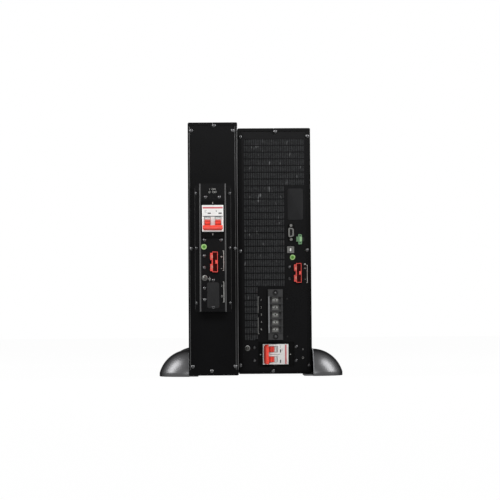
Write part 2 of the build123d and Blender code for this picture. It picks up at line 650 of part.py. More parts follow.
def ups_panel_holes():
    """Vent slots, port holes and earth screw hole of the power module's rear panel."""
    fit = 2 * PORT_FIT
    holes = vent_wires()
    holes.append(panel_hole(COVER_X, COVER_RISE, COVER_WIDTH - 2 * COVER_LAP, COVER_HEIGHT - 2 * COVER_LAP))
    holes.append(panel_hole(SERIAL_X, SERIAL_RISE, SERIAL_SHELL_WIDTH + fit, SERIAL_SHELL_HEIGHT + fit))
    holes.append(panel_hole(USB_X, USB_RISE, USB_WIDTH + fit, USB_HEIGHT + fit))
    holes.append(panel_hole(RELAY_X, RELAY_RISE, RELAY_WIDTH + fit, RELAY_HEIGHT + fit))
    holes.append(panel_hole(UPS_CONNECTOR_X, UPS_CONNECTOR_RISE, *connector_seat()))
    holes.append(panel_hole(INPUT_BREAKER_X, BLOCK_RISE, BLOCK_WIDTH - 2 * BLOCK_LEDGE + fit,
                            LANE_COUNT * LANE_PITCH - 2 * BLOCK_LEDGE + fit))
    holes.append(panel_hole((INPUT_WINDOW_START + INPUT_WINDOW_END) / 2, INPUT_BREAKER_RISE,
                            INPUT_WINDOW_END - INPUT_WINDOW_START, INPUT_WINDOW_HEIGHT))
    earth = Plane((UPS_EARTH_X - UPS_WIDTH / 2, 0, UPS_EARTH_Z - BODY_HEIGHT / 2), z_dir=(0, -1, 0))
    holes.append(Wire.make_circle(EARTH_HOLE_RADIUS, earth))
    return holes


def ups_insides():
    """Board on standoffs, heat sink on the board, and the sealed power stage."""
    pieces = {}
    wall = UPS_WIDTH / 2 - SHEET
    board_x = wall - STANDOFF_LENGTH
    inner = board_x - BOARD_THICKNESS
    half_height = BODY_HEIGHT / 2 - BOARD_MARGIN
    board = block((inner, board_x), (BOARD_SETBACK, BOARD_SETBACK + BOARD_LENGTH), both(half_height))
    for y in (BOARD_SETBACK + STANDOFF_SIZE, BOARD_SETBACK + BOARD_LENGTH - STANDOFF_SIZE):
        for z in both(half_height - STANDOFF_SIZE):
            board += block((board_x, wall), (y - STANDOFF_SIZE / 2, y + STANDOFF_SIZE / 2),
                           (z - STANDOFF_SIZE / 2, z + STANDOFF_SIZE / 2))
    pieces["ups_main_board"] = board
    low = SINK_RISE - BODY_HEIGHT / 2
    depth = (BOARD_SETBACK, BOARD_SETBACK + SINK_LENGTH)
    span = (SINK_FIN_COUNT - 1) * SINK_FIN_PITCH + SINK_FIN
    sink = block((inner - SINK_BASE, inner), depth, (low, low + span))
    for index in range(SINK_FIN_COUNT):
        fin_low = low + index * SINK_FIN_PITCH
        sink += block((inner - SINK_REACH, inner), depth, (fin_low, fin_low + SINK_FIN))
    pieces["ups_heat_sink"] = sink
    pieces["ups_power_stage"] = block(
        both(wall - STAGE_FIT), (STAGE_SETBACK, UPS_LENGTH - STAGE_FIT),
        (2 * SHEET - BODY_HEIGHT / 2, BODY_HEIGHT / 2 - 2 * SHEET - STAGE_FIT))
    return pieces


def build_ups():
    """All pieces of the power module, from the middle of its rear face."""
    pieces = {}
    pieces["ups_cover"], pieces["ups_chassis"] = half_shells(UPS_WIDTH, UPS_LENGTH)
    pieces["ups_rear_panel"] = rear_panel(UPS_WIDTH, ups_panel_holes())
    cover = cover_plate(COVER_WIDTH, COVER_HEIGHT, COVER_THICKNESS)
    pieces["slot_cover"] = on_panel(COVER_X, COVER_RISE) * cover
    pieces["serial_port"] = on_panel(SERIAL_X, SERIAL_RISE) * serial_port()
    pieces["usb_port"] = on_panel(USB_X, USB_RISE) * usb_port()
    pieces["relay_terminal"] = on_panel(RELAY_X, RELAY_RISE) * relay_terminal()
    to_connector = on_panel(UPS_CONNECTOR_X, UPS_CONNECTOR_RISE)
    pieces["ups_dc_connector"] = to_connector * dc_connector()
    pieces["ups_dc_contacts"] = [to_connector * blade for blade in dc_contacts()]
    to_block = on_panel(INPUT_BREAKER_X, BLOCK_RISE)
    pieces["terminal_block"] = to_block * terminal_block()
    pieces["terminal_clamps"] = [to_block * clamp for clamp in terminal_clamps()]
    turned = on_panel(INPUT_BREAKER_X, INPUT_BREAKER_RISE) * Rot(0, 90, 0)
    plate = breaker_plate(INPUT_WINDOW_SIDE + PLATE_LAP, INPUT_WINDOW_RIGHT, INPUT_WINDOW_LEFT)
    pieces["input_breaker_plate"] = turned * Pos(0, SHEET, 0) * plate
    to_nose = turned * Pos(0, -NOSE_OUT, 0)
    pieces["input_breaker_body"] = to_nose * breaker_body()
    pieces["input_breaker_handle"] = to_nose * breaker_handle()
    pieces["breaker_pins"] = to_nose * breaker_pin()
    pieces.update(ups_insides())
    front = bezel(UPS_WIDTH, UPS_VENT_TOP) - display_space(0)
    for hole in button_spaces(BUTTON_FIT, BEZEL_DEPTH):
        front -= hole
    to_front = Pos(0, UPS_LENGTH, 0)
    pieces["ups_front_bezel"] = to_front * front
    pieces["display_window"] = to_front * display_space(-DISPLAY_FIT)
    pieces["control_buttons"] = [to_front * button for button in button_spaces(0, BUTTON_STEM)]
    return pieces


def build_feet():
    """Two pairs of feet, one near the rear and one near the front."""
    right = Pos(PAIR_WIDTH / 2, 0, 0) * stand_foot()
    left = mirror(right, about=Plane.YZ)
    places = (UPS_REAR + REAR_FOOT_IN, BATTERY_LENGTH - FRONT_FOOT_SETBACK)
    return [Pos(0, y, 0) * foot for y in places for foot in (left, right)]


def as_list(piece):
    """Solids of a piece, whether it is one or several."""
    return list(piece) if isinstance(piece, list) else [piece]


def build_all():
    """Every piece in the frame of the whole object."""
    pieces = {}
    middle_z = BASE_Z + BODY_HEIGHT / 2
    modules = [(Pos(BATTERY_X + BATTERY_WIDTH / 2, 0, middle_z), build_battery()),
               (Pos(UPS_X + UPS_WIDTH / 2, UPS_REAR, middle_z), build_ups()),
               (Pos(0, 0, 0), {"stand_feet": build_feet()})]
    for place, module in modules:
        for name, piece in module.items():
            pieces.setdefault(name, []).extend(place * solid for solid in as_list(piece))
    boxes = [solid.bounding_box() for solids in pieces.values() for solid in solids]
    x_middle = (min(box.min.X for box in boxes) + max(box.max.X for box in boxes)) / 2
    y_middle = (min(box.min.Y for box in boxes) + max(box.max.Y for box in boxes)) / 2
    shift = Pos(-x_middle, -y_middle, 0)
    return {name: [shift * solid for solid in solids] for name, solids in pieces.items()}


def main():
    os.makedirs("parts", exist_ok=True)
    for name, solids in build_all().items():
        whole = [solid for shape in solids for solid in shape.solids()]
        shape = whole[0] if len(whole) == 1 else Compound(children=whole)
        export_step(shape, "parts/" + name + ".step")


if __name__ == "__main__":
    main()
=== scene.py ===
import json
import math
from collections import namedtuple

import bmesh
import bpy
import numpy as np
from mathutils import Matrix, Vector


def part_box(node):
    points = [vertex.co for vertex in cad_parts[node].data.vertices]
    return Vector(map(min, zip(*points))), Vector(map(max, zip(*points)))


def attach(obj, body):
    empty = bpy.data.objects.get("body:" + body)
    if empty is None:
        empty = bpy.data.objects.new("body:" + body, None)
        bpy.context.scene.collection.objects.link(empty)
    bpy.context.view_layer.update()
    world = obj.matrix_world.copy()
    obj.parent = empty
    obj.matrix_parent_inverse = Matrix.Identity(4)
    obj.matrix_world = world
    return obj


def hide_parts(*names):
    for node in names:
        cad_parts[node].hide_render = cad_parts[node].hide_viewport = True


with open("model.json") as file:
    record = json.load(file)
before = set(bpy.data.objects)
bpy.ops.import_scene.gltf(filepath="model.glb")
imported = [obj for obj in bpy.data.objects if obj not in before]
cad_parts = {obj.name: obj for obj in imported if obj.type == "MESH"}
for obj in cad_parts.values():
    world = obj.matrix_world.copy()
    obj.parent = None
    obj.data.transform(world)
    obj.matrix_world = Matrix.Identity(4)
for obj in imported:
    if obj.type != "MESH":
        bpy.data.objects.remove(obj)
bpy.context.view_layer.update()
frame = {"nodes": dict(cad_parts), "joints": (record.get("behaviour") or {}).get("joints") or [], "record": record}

bl_info = {
    "name": "Upright power supply",
    "version": (1, 0, 0),
    "blender": (4, 5, 0),
    "location": "View3D > Sidebar > Power supply",
    "description": "Dresses a rack-mount power supply and battery module with screws, marks and finishes",
    "category": "Object",
}

MM = 0.001
Corner = namedtuple("Corner", "x y z")


def box_of(node):
    """Low and high corner of a CAD node in millimetres, the unit of every shape here."""
    return [Corner(*(value / MM for value in corner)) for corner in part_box(node)]


# Corners and faces of the pieces that the dressing sits on
BATTERY_LOW, BATTERY_HIGH = box_of("battery_cover")
BATTERY_RIGHT = box_of("battery_chassis")[1].x
UPS_LOW, UPS_HIGH = box_of("ups_cover")
UPS_RIGHT = box_of("ups_chassis")[1].x
UPS_FACE = box_of("ups_rear_panel")[0].y
BOX_LOW, BOX_HIGH = box_of("connector_box")
BOX_FACE = BOX_LOW.y
BLOCK_LOW, BLOCK_HIGH = box_of("terminal_block")
DISPLAY_LOW, DISPLAY_HIGH = box_of("display_window")

# Folded sheet of the connector box: thickness, flange width and outer radius of the long bends
SHEET = 1.2
BOX_FLANGE = 9.5
BOX_BEND = 2.4
FLANGE_FACE = BOX_HIGH.y - SHEET

# Places across from the middle of the connector box and up from its bottom
BOX_CORNER = ((BOX_LOW.x + BOX_HIGH.x) / 2, BOX_LOW.z)
FLANGE_SCREWS = ((-28.4, 205.0), (28.4, 205.0), (-28.4, 110.5), (28.4, 110.5), (-28.4, 15.6), (28.4, 15.6))
FACE_SCREWS = ((-12.0, 195.3), (11.6, 195.3), (-14.0, 122.0), (14.0, 122.0), (-14.4, 95.1), (-14.4, 75.1),
               (-14.4, 40.0), (-14.4, 20.5), (0.2, 53.6), (0.2, 7.6))
BATTERY_EARTH = (-14.3, 57.5)
BATTERY_STICKER = (-15.2, 110.5)

# Places across from the left edge of the power module and up from its bottom
UPS_CORNER = (UPS_LOW.x, UPS_LOW.z)
PORT_SCREWS = ((91.1, 189.5), (91.1, 169.0), (28.0, 46.9), (28.0, 23.9), (102.0, 48.0), (102.0, 23.4))
UPS_EARTH = (15.5, 45.8)
SMALL_HOLES = ((86.6, 133.0), (86.6, 66.0))
UPS_STICKER = (96.9, 206.9)

# Generic printed characters: text, height and place
BOX_WORDS = (("I  ON", 4.6, (0.0, 208.6)), ("O  OFF", 4.6, (0.0, 203.6)), ("+", 7, (14.6, 93.0)),
             ("-", 7, (14.6, 74.0)), ("1", 4.6, (14.8, 44.0)), ("2", 4.6, (14.8, 26.0)))
UPS_WORDS = (("+", 6, (119.0, 187.0)), ("-", 6, (119.0, 168.0)), ("1", 5, (40.4, 131.0)),
             ("2", 5, (40.4, 118.0)), ("3", 5, (40.4, 105.0)), ("4", 5, (40.4, 92.0)),
             ("5", 5, (40.4, 79.0)), ("I", 5, (114.0, 43.0)), ("O", 5, (114.0, 28.0)))
LINK_DOT = (118.8, 194.4)

# Printed strokes, and dark plates of painted shade above and below the battery breaker: left, right, bottom and
# top of each
BOX_STROKES = ((-0.5, 0.5, 183.6, 186.6), (-0.5, 0.5, 130.2, 133.2), (-8.4, -3.4, 56.0, 56.6),
               (-7.6, -4.2, 54.2, 54.8), (-6.7, -5.1, 52.6, 53.2), (-6.2, -5.6, 56.6, 59.4),
               (17.8, 18.8, 69.6, 104.0), (16.4, 17.8, 69.6, 70.4), (16.4, 17.8, 103.2, 104.0),
               (17.8, 18.8, 16.0, 51.0), (16.4, 17.8, 16.0, 16.8), (16.4, 17.8, 50.2, 51.0))
UPS_STROKES = ((34.6, 35.2, 108.0, 137.0), (34.6, 35.2, 71.0, 100.0), (34.6, 37.2, 136.4, 137.0),
               (34.6, 37.2, 71.0, 71.6), (37.6, 40.0, 33.6, 35.0), (91.0, 92.6, 33.6, 35.0),
               (122.4, 123.4, 161.0, 193.0), (121.2, 122.4, 161.0, 161.8), (121.2, 122.4, 192.2, 193.0))
BREAKER_SHADE_PLATES = ((-18.6, 18.6, 181.6, 189.6), (-18.6, 18.6, 126.4, 135.2))

# Panel screws: distance from the sides, the top and the bottom, and that of the middle ones from either end
TAB_SIDE = 5.0
TAB_TOP = 13.5
TAB_BOTTOM = 15.5
TAB_END = 5.6

# Shifts of the panel screws: left and right from the top down, then the top and the bottom one
BATTERY_TABS = ((1.4, -1.0), (-2.7, -1.0), (1.0, 0.0), (-0.7, 0.0), (2.0, 0.0), (-0.7, 0.0), (2.7, -0.3),
                (-3.4, 2.4))
UPS_TABS = ((0.0, -2.1), (0.0, -1.4), (-1.4, -0.7), (-2.8, 0.7), (-2.1, 0.0), (0.0, 0.0), (2.8, -0.7),
            (-4.2, 0.0))

# Terminal block: number and height of its lanes, and half the height of its marker strip
LANES = 5
LANE_HEIGHT = 9.4
MARKER_HALF = 32.5

# Print on a breaker nose from its middle: left, right, bottom and top of each field
BREAKER_STRIPE = ((-17.2, 17.2, 16.6, 19.4),)
BREAKER_MARKS = ((-8.6, -3.2, 7.6, 9.6), (9.8, 15.2, 7.6, 9.6))
# The first field of these two sets is painted shade: the top edge of the battery toggles' window, and the groove
# between the input breaker's poles
BATTERY_LINES = ((-17.4, 17.4, 2.8, 4.1), (-14.0, -9.6, 13.4, 13.9), (-14.0, -11.4, 11.4, 11.9),
                 (-14.0, -10.4, 9.2, 9.7), (5.4, 6.6, 10.6, 13.4))
INPUT_LINES = ((-0.4, 0.4, -10.5, 7.0), (-10.2, -5.6, 11.2, 11.8), (-16.0, -11.0, 8.0, 8.5),
               (-10.0, -6.0, 1.4, 1.9))

# Toggles of a breaker: how far they are thrown off, their places along the pin, and the guards on their drums
OFF_ANGLE = math.radians(42)
TOGGLES = (-9.0, 9.0)
GUARD_HALF = 4.6
GUARD_RADII = (6.5, 6.95)
GUARD_ANGLES = ((1.0, 1.95), (-1.95, -1.0))

# Painted shade in the grooves of the necks and on the lower edge of the tie bar: limits along the pin, the neck
# and its upper side
TOGGLE_SHADES = (((-13.72, -4.28), (10.4, 14.2), (2.0, 2.28)), ((4.28, 13.72), (10.4, 14.2), (2.0, 2.28)),
                 ((-15.4, 15.4), (21.0, 22.26), (-2.85, -1.0)))

# Direct-current connector: widths from its left edge, half heights, and how far it stands out
PLUG_WIDTH = 12.8
PLUG_TONGUE = 3.6
PLUG_SHIFT = 1.6
PLUG_WALL = 0.9
PLUG_HALF = 17.2
PLUG_TONGUE_HALF = 15.3
PLUG_NOTCH = 3.4
PLUG_KEY = 3.0
PLUG_KEY_REACH = 3.2
PLUG_OUT = 12.0
PLUG_STEP = 2.0
PLUG_WELL = 2.4
BLADE_PLACE = 8.6
BLADE_HALF = 2.4

# Vent blocks from the top down: columns and rows of slots; the corner of the first, and the filter
VENT_BLOCKS = ((27, 7), (18, 15), (6, 8))
VENT_CORNER = (10.8, 419.0)
FILTER_DEPTHS = (1.2, 7.0)
FILTER_MARGIN = 2.0

# Panel holes behind ports that stay on the CAD panel: node, and how far the hole is inside the node's box
PANEL_HOLES = (("slot_cover", 3.0, 3.0), ("usb_port", -0.3, -0.3), ("relay_terminal", 5.5, 1.5),
               ("ups_dc_connector", 1.7, 4.0), ("terminal_block", 2.7, 14.7),
               ("input_breaker_plate", 5.0, 5.0))

# Serial port: corners of its shell and well from their middle, and the place of its nuts
SERIAL_SHELL = ((-4.8, -8.8), (4.8, -7.2), (4.8, 7.2), (-4.8, 8.8))
SERIAL_WELL = ((-2.4, -6.4), (2.4, -5.4), (2.4, 5.4), (-2.4, 6.4))
SERIAL_NUT = 12.5

# Feet: tongue under the module, lower edge, and the flange against the wall
TONGUE_WIDTH = 15.0
TONGUE_DEPTH = 80.0
TONGUE_THICKNESS = 3.0
FOOT_EDGE = 1.2
FOOT_FLANGE = 1.6
FLANGE_MARGIN = 0.6
FLANGE_CLEAR = 4.0

# Stage in metres, degrees and watts: floor, lamps from the battery module's rear, and the camera
FLOOR_HALF = 14.0
FLOOR_HEIGHT = -0.0003
LAMPS = (("left_box", (-2.0, -0.15, 1.6), 1.1, 2.0, 72.0), ("right_box", (2.0, -0.15, 1.6), 1.1, 2.0, 72.0),
         ("top_box", (0.0, -4.0, 1.5), 2.2, 0.8, 54.0))
LAMP_AIM = (0.0, 0.0, 0.2)
CAMERA_PLACE = (-0.04319, -2.95947, 0.08219)
CAMERA_ANGLES = (0.803, 2.6485, -0.4021)
SENSOR_WIDTH = 36.0
FOCUS_PER_WIDTH = 1715.0 / 500


def linear(text):
    """Linear colour of an sRGB hex value."""
    parts = [int(text[index:index + 2], 16) / 255 for index in (0, 2, 4)]
    return tuple(p / 12.92 if p <= 0.04045 else ((p + 0.055) / 1.055) ** 2.4 for p in parts)


def colour(label, note, text):
    """Colour setting with its default."""
    return bpy.props.FloatVectorProperty(name=label, description=note, subtype="COLOR", size=3, min=0, max=1,
                                         default=linear(text))


def length(label, note, millimetres):
    """Length setting in metres with its default."""
    return bpy.props.FloatProperty(name=label, description=note, unit="LENGTH", subtype="DISTANCE", min=0,
                                   precision=5, default=millimetres * MM)


class PowerSupplyColours(bpy.types.PropertyGroup):
    """Colours of the finishes"""
    paint: colour("Powder coat", "Chassis, covers and connector box", "050506")
    plate: colour("Breaker plate", "Matt plate behind the breaker windows", "080808")
    cover: colour("Dark covers", "Moulded slot and blank covers", "212122")
    breaker: colour("Breaker body", "Moulded breaker housing", "e6e6e4")
    toggle: colour("Toggle red", "Breaker handles", "d63a2a")
    connector: colour("Connector red", "Housing of the direct-current connectors", "d8382a")
    relay: colour("Relay green", "Plug-in relay terminal", "608e62")
    block: colour("Terminal block", "Barrier block", "141415")
    steel: colour("Plated steel", "Pins of the breakers", "a3a29e")
    screw: colour("Black zinc", "Panel screws", "5a5a5b")
    silver: colour("Silver contacts", "Contact blades", "8f877a")
    foot: colour("Foot lacquer", "Lacquered feet", "515152")
    bezel: colour("Bezel plastic", "Front bezels", "161617")
    board: colour("Board green", "Circuit board", "1f5a35")
    sink: colour("Heat sink", "Extruded aluminium", "b4b6b8")
    inner: colour("Inner sheet", "Galvanised sheet seen through the vent", "8d8f90")
    sticker: colour("Sticker green", "Round inspection stickers", "98c078")
    ink: colour("White ink", "Screen-printed marks", "a9a9a6")
    floor: colour("Floor", "Pale studio floor", "dcdcdc")


class PowerSupplySizes(bpy.types.PropertyGroup):
    """Sizes of the dressing"""
    screw_radius: length("Panel screw radius", "Radius of the panel screw heads", 3.5)
    screw_height: length("Panel screw height", "Height of the panel screw heads", 2.3)
    small_radius: length("Small screw radius", "Radius of the screw heads on the connector box", 2.9)
    small_height: length("Small screw height", "Height of the screw heads on the connector box", 1.9)
    earth_radius: length("Earth screw radius", "Radius of the earth screw washers", 4.8)
    clamp_radius: length("Clamp screw radius", "Radius of the terminal clamp screws", 4.4)
    sticker_radius: length("Sticker radius", "Radius of the round stickers", 4.7)
    slot_pitch: length("Slot pitch", "Distance between the vent slots of a row", 4.007)
    slot_rise: length("Slot rise", "Distance between the rows of vent slots", 12.0)
    slot_width: length("Slot width", "Width of a vent slot", 3.0)
    slot_height: length("Slot height", "Height of a vent slot", 10.3)
    ink_height: length("Ink thickness", "How far printed marks stand off the paint", 0.06)
    foot_reach: length("Foot reach", "How far a foot stands out from the side wall", 54.0)
    foot_height: length("Foot height", "Height of a foot at the wall", 47.4)
    foot_skirt: length("Foot skirt", "Height of the upright rim of a foot", 6.2)


def size_of(context, name):
    """A size setting in millimetres."""
    return getattr(context.scene.ups_sizes, name) / MM


def coat(ior, highlight):
    """Shader values of a coat or moulding: its index of refraction and the strength of its highlights."""
    return {"IOR": ior, "Specular IOR Level": highlight}


METAL = {"Metallic": 1.0}
# How much paler the panel and box coat is painted: painted light for the light these faces catch
PAINTED_LIGHT_PALER = 1.5

# Each finish: record slot, name, colour setting or hex value, shader values, grain in millimetres, spread of
# its tone, least and most roughness, and strength of its relief
FINISHES = (
    # Polyester powder coat on steel sheet: near black, satin, with a fine orange-peel grain
    ("chassis_sheet", "powder_coated_steel", "paint", coat(1.5, 0.045), 2.2, 0.22, (0.24, 0.34), 0.12),
    # Matt black paint on the plates round the breakers: flatter than the powder coat; on the dark plates round the
    # battery breaker and along the panel seams it is painted shade
    ("black_sheet", "matt_painted_steel", "plate", coat(1.5, 0.06), 1.5, 0.2, (0.6, 0.75), 0.15),
    # Moulded ABS with a spark-eroded grain: a dull dark grey that scatters light evenly
    ("dark_plastic", "spark_grained_abs", "cover", coat(1.54, 0.1), 1.6, 0.25, (0.55, 0.72), 0.5),
    # Moulded nylon of a breaker housing: clean white with a faint cloudy tone and soft gloss
    ("breaker_plastic", "white_moulded_nylon", "breaker", coat(1.53, 0.4), 1.8, 0.03, (0.38, 0.5), 0.08),
    # Glossier moulded nylon of the toggles: saturated red with soft highlights on its bevels
    ("red_plastic", "red_moulded_nylon", "toggle", coat(1.53, 0.4), 1.5, 0.08, (0.3, 0.42), 0.08),
    # Moulded polycarbonate of the battery connectors: orange-red, a little flow-marked
    ("connector_red", "red_moulded_polycarbonate", "connector", coat(1.58, 0.4), 2.4, 0.12, (0.34, 0.5),
     0.12),
    # Green polyamide of a plug-in terminal: semi-matt with a waxy look
    ("green_plastic", "green_moulded_polyamide", "relay", coat(1.53, 0.4), 1.2, 0.15, (0.35, 0.5), 0.1),
    # Phenolic moulding of the barrier block: grey-black with a slightly glossy skin
    ("block_plastic", "black_phenolic_moulding", "block", coat(1.6, 0.25), 1.4, 0.3, (0.32, 0.5), 0.15),
    # Moulded battery case: matt black with a slight cloud
    ("battery_case", "black_polypropylene", "cover", coat(1.49, 0.3), 3.0, 0.15, (0.5, 0.65), 0.2),
    # Glass-fibre laminate under solder mask: green, glossy, with a faint weave of mottling
    ("board_laminate", "solder_masked_laminate", "board", coat(1.55, 0.5), 1.0, 0.3, (0.25, 0.4), 0.1),
    # Fine-grained moulded ABS of the front bezels: dark grey and matt
    ("bezel_plastic", "fine_grained_abs", "bezel", coat(1.54, 0.3), 1.2, 0.18, (0.45, 0.6), 0.35),
    # Satin lacquer with graphite on the feet: a broad silvery shine that falls off to black at the outline
    ("foot_plastic", "graphite_satin_lacquer", "foot",
     {"Metallic": 1.0, "Specular Tint": (0.08, 0.08, 0.08, 1.0)}, 1.2, 0.12, (0.32, 0.37), 0.05),
    # Galvanised sheet of the inner parts: mid grey with the cloudy spangle of zinc
    ("inner_sheet", "galvanised_sheet", "inner", coat(1.5, 0.4), 9.0, 0.45, (0.4, 0.6), 0.1),
    # Acrylic display window: deep black gloss with the faintest haze
    ("display_glass", "black_acrylic", "121416", coat(1.49, 0.5), 25.0, 0.3, (0.05, 0.12), 0.01),
    # Zinc-plated steel: bright with cloudy patches and soft reflections
    ("plated_steel", "zinc_plated_steel", "steel", METAL, 1.6, 0.18, (0.22, 0.4), 0.12),
    # Silver-plated copper blades: warm and bright with a slight tarnish
    ("contact_silver", "silver_plated_copper", "silver", METAL, 1.2, 0.2, (0.2, 0.38), 0.08),
    # Extruded aluminium: pale grey with fine drawn streaks
    ("heat_sink", "extruded_aluminium", "sink", METAL, 1.0, 0.15, (0.3, 0.45), 0.15),
    # Dulled zinc plating of ports: greyer and softer than the fresh plating
    (None, "tarnished_zinc", "585856", METAL, 1.4, 0.2, (0.35, 0.5), 0.12),
    # Brighter zinc of the earth screws and their washers, kept bare for contact
    (None, "bare_zinc_plating", "5e5e5c", METAL, 1.4, 0.2, (0.3, 0.45), 0.12),
    # Black zinc on steel screws: dark metal that still glints at the rim of each head
    (None, "black_zinc_steel", "screw", METAL, 0.9, 0.25, (0.2, 0.34), 0.1),
    # Powder coat of the bends and beads: a glossier skin along the edge, and a tone paler than the coat that is
    # painted highlight
    (None, "burnished_powder_coat", "1a1a1b", coat(1.5, 0.6), 3.0, 0.3, (0.28, 0.42), 0.15),
    # Grey moulded polyamide of the terminal block's marker strip and the foot flanges, even and dull; its pale
    # tone is partly painted highlight, for the lit edge of the block's wall and the lit flat of each foot flange
    (None, "grey_moulded_polyamide", "77787a", coat(1.53, 0.3), 1.4, 0.15, (0.4, 0.55), 0.1),
    # White moulded tongue of the square port: clean and half glossy
    (None, "white_moulded_polyester", "e4e4e0", coat(1.55, 0.4), 1.0, 0.05, (0.35, 0.5), 0.05),
    # Screen-print ink: flat off-white with thin patches
    (None, "screen_print_ink", "ink", coat(1.5, 0.2), 0.7, 0.18, (0.55, 0.7), 0.1),
    # Coated paper sticker: fresh green with a faint print grain
    (None, "coated_paper", "sticker", coat(1.5, 0.3), 0.8, 0.12, (0.4, 0.55), 0.05),
    # Print on the middle of a sticker: deeper green
    (None, "green_print", "4a8428", coat(1.5, 0.3), 0.8, 0.15, (0.4, 0.55), 0.05),
    # Pad-printed grey, near black and red on the breakers: thin ink over the white nylon; the grey also paints
    # shade lines along a window edge and a pole groove
    (None, "grey_pad_print", "77787a", coat(1.5, 0.3), 0.8, 0.15, (0.45, 0.6), 0.05),
    (None, "dark_pad_print", "2c2c2e", coat(1.5, 0.3), 0.8, 0.2, (0.45, 0.6), 0.05),
    (None, "red_pad_print", "c8686c", coat(1.5, 0.3), 0.8, 0.15, (0.45, 0.6), 0.05),
    # Drum guards of the breakers: the same nylon, painted a little greyer as the shade in the window round the
    # toggles
    (None, "handled_white_nylon", "b6b6b4", coat(1.53, 0.3), 1.8, 0.05, (0.45, 0.6), 0.08),
    # Painted shade in the toggles' grooves and under the tie bar: the same red nylon, darkened
    (None, "shaded_red_nylon", "8e2018", coat(1.53, 0.2), 1.5, 0.12, (0.45, 0.6), 0.08),
    # Painted shade in the wells of the connectors: the same polycarbonate, almost black
    (None, "shaded_polycarbonate", "340806", coat(1.58, 0.05), 2.0, 0.2, (0.6, 0.75), 0.1),
    # Dull tin plating of the clamp screws: pale grey that looks bright from every side
    (None, "dull_tin_plating", "f0f0ec", {"Metallic": 0.55, "Specular IOR Level": 0.8}, 1.2, 0.12,
     (0.24, 0.34), 0.1),
    # Oxidised clamp plates under the screws: dark dull grey
    (None, "oxidised_brass", "6c6c69", {"Metallic": 0.6}, 1.4, 0.25, (0.5, 0.65), 0.12),
    # Moulded contact carrier deep in a port, lips, collars and hole plugs: near black; in the clamp screws it is
    # painted shade in their recesses
    (None, "black_contact_carrier", "0c0c0d", coat(1.5, 0.2), 1.0, 0.3, (0.5, 0.7), 0.1),
    # Green lens of a status lamp that is off: deep green and glossy
    (None, "green_lens", "2f6a3c", coat(1.5, 0.5), 1.0, 0.2, (0.12, 0.2), 0.02),
    # Shaded wells of the relay terminal: the same polyamide, dark with depth
    (None, "dark_green_polyamide", "2c4a30", coat(1.53, 0.2), 1.0, 0.2, (0.5, 0.65), 0.1),
    # Plug of the relay terminal: paler green that is painted highlight, where its rounded face catches light
    (None, "pale_green_polyamide", "8cb684", coat(1.53, 0.4), 1.2, 0.1, (0.35, 0.5), 0.1),
    # Liquid crystal glass: grey-green with a faint vertical cloud
    (None, "liquid_crystal_glass", "3c4a46", coat(1.5, 0.5), 4.0, 0.12, (0.1, 0.2), 0.01),
)

# CAD nodes with a finish of their own
NODE_FINISHES = (("terminal_clamps", "oxidised_brass"), ("usb_port", "tarnished_zinc"),
                 ("connector_box", "punched_panel_coat"))


def add_node(tree, kind, values=None, links=None, **settings):
    """Node with its own settings, values for its sockets and links into its sockets."""
    node = tree.nodes.new(kind)
    for name, value in settings.items():
        setattr(node, name, value)
    for socket, value in (values or {}).items():
        node.inputs[socket].default_value = value
    for socket, source in (links or {}).items():
        tree.links.new(source, node.inputs[socket])
    return node


def start_material(name, values):
    """New material with a Principled shader, and its tree, shader and Object coordinates."""
    material = bpy.data.materials.new(name)
    material.use_nodes = True
    tree = material.node_tree
    tree.nodes.clear()
    shader = add_node(tree, "ShaderNodeBsdfPrincipled", values)
    add_node(tree, "ShaderNodeOutputMaterial", links={"Surface": shader.outputs["BSDF"]})
    place = add_node(tree, "ShaderNodeTexCoord").outputs["Object"]
    return material, tree, shader, place


def tint(base, factor):
    """Colour with alpha, made lighter or darker by a factor."""
    return tuple(min(1.0, channel * factor) for channel in base) + (1.0,)


def mottled(name, base, values, grain_mm, spread, rough, bump):
    """Moulded or coated surface: a noise of one real size varies its tone and gloss and raises its grain."""
    material, tree, shader, place = start_material(name, values)
    grain = add_node(tree, "ShaderNodeTexNoise", {"Scale": 1 / (grain_mm * MM), "Detail": 3.0,
                                                  "Roughness": 0.6}, {"Vector": place})
    broad = add_node(tree, "ShaderNodeTexNoise", {"Scale": 1 / (60 * MM), "Detail": 2.0}, {"Vector": place})
    blend = add_node(tree, "ShaderNodeMath", {1: 0.5}, {0: grain.outputs["Fac"]}, operation="MULTIPLY")
    both = add_node(tree, "ShaderNodeMath", {1: 0.5}, {0: broad.outputs["Fac"], 2: blend.outputs[0]},
                    operation="MULTIPLY_ADD")
    tone = add_node(tree, "ShaderNodeValToRGB", links={"Fac": both.outputs[0]})
    tone.color_ramp.elements[0].position = 0.3
    tone.color_ramp.elements[0].color = tint(base, 1 - spread)
    tone.color_ramp.elements[1].position = 0.7
    tone.color_ramp.elements[1].color = tint(base, 1 + spread)
    gloss = add_node(tree, "ShaderNodeMapRange", {"From Min": 0.3, "From Max": 0.7, "To Min": rough[0],
                                                  "To Max": rough[1]}, {"Value": both.outputs[0]})
    relief = add_node(tree, "ShaderNodeBump", {"Strength": bump, "Distance": 0.1 * MM},
                      {"Height": grain.outputs["Fac"]})
    tree.links.new(tone.outputs["Color"], shader.inputs["Base Color"])
    tree.links.new(gloss.outputs["Result"], shader.inputs["Roughness"])
    tree.links.new(relief.outputs["Normal"], shader.inputs["Normal"])
    return material


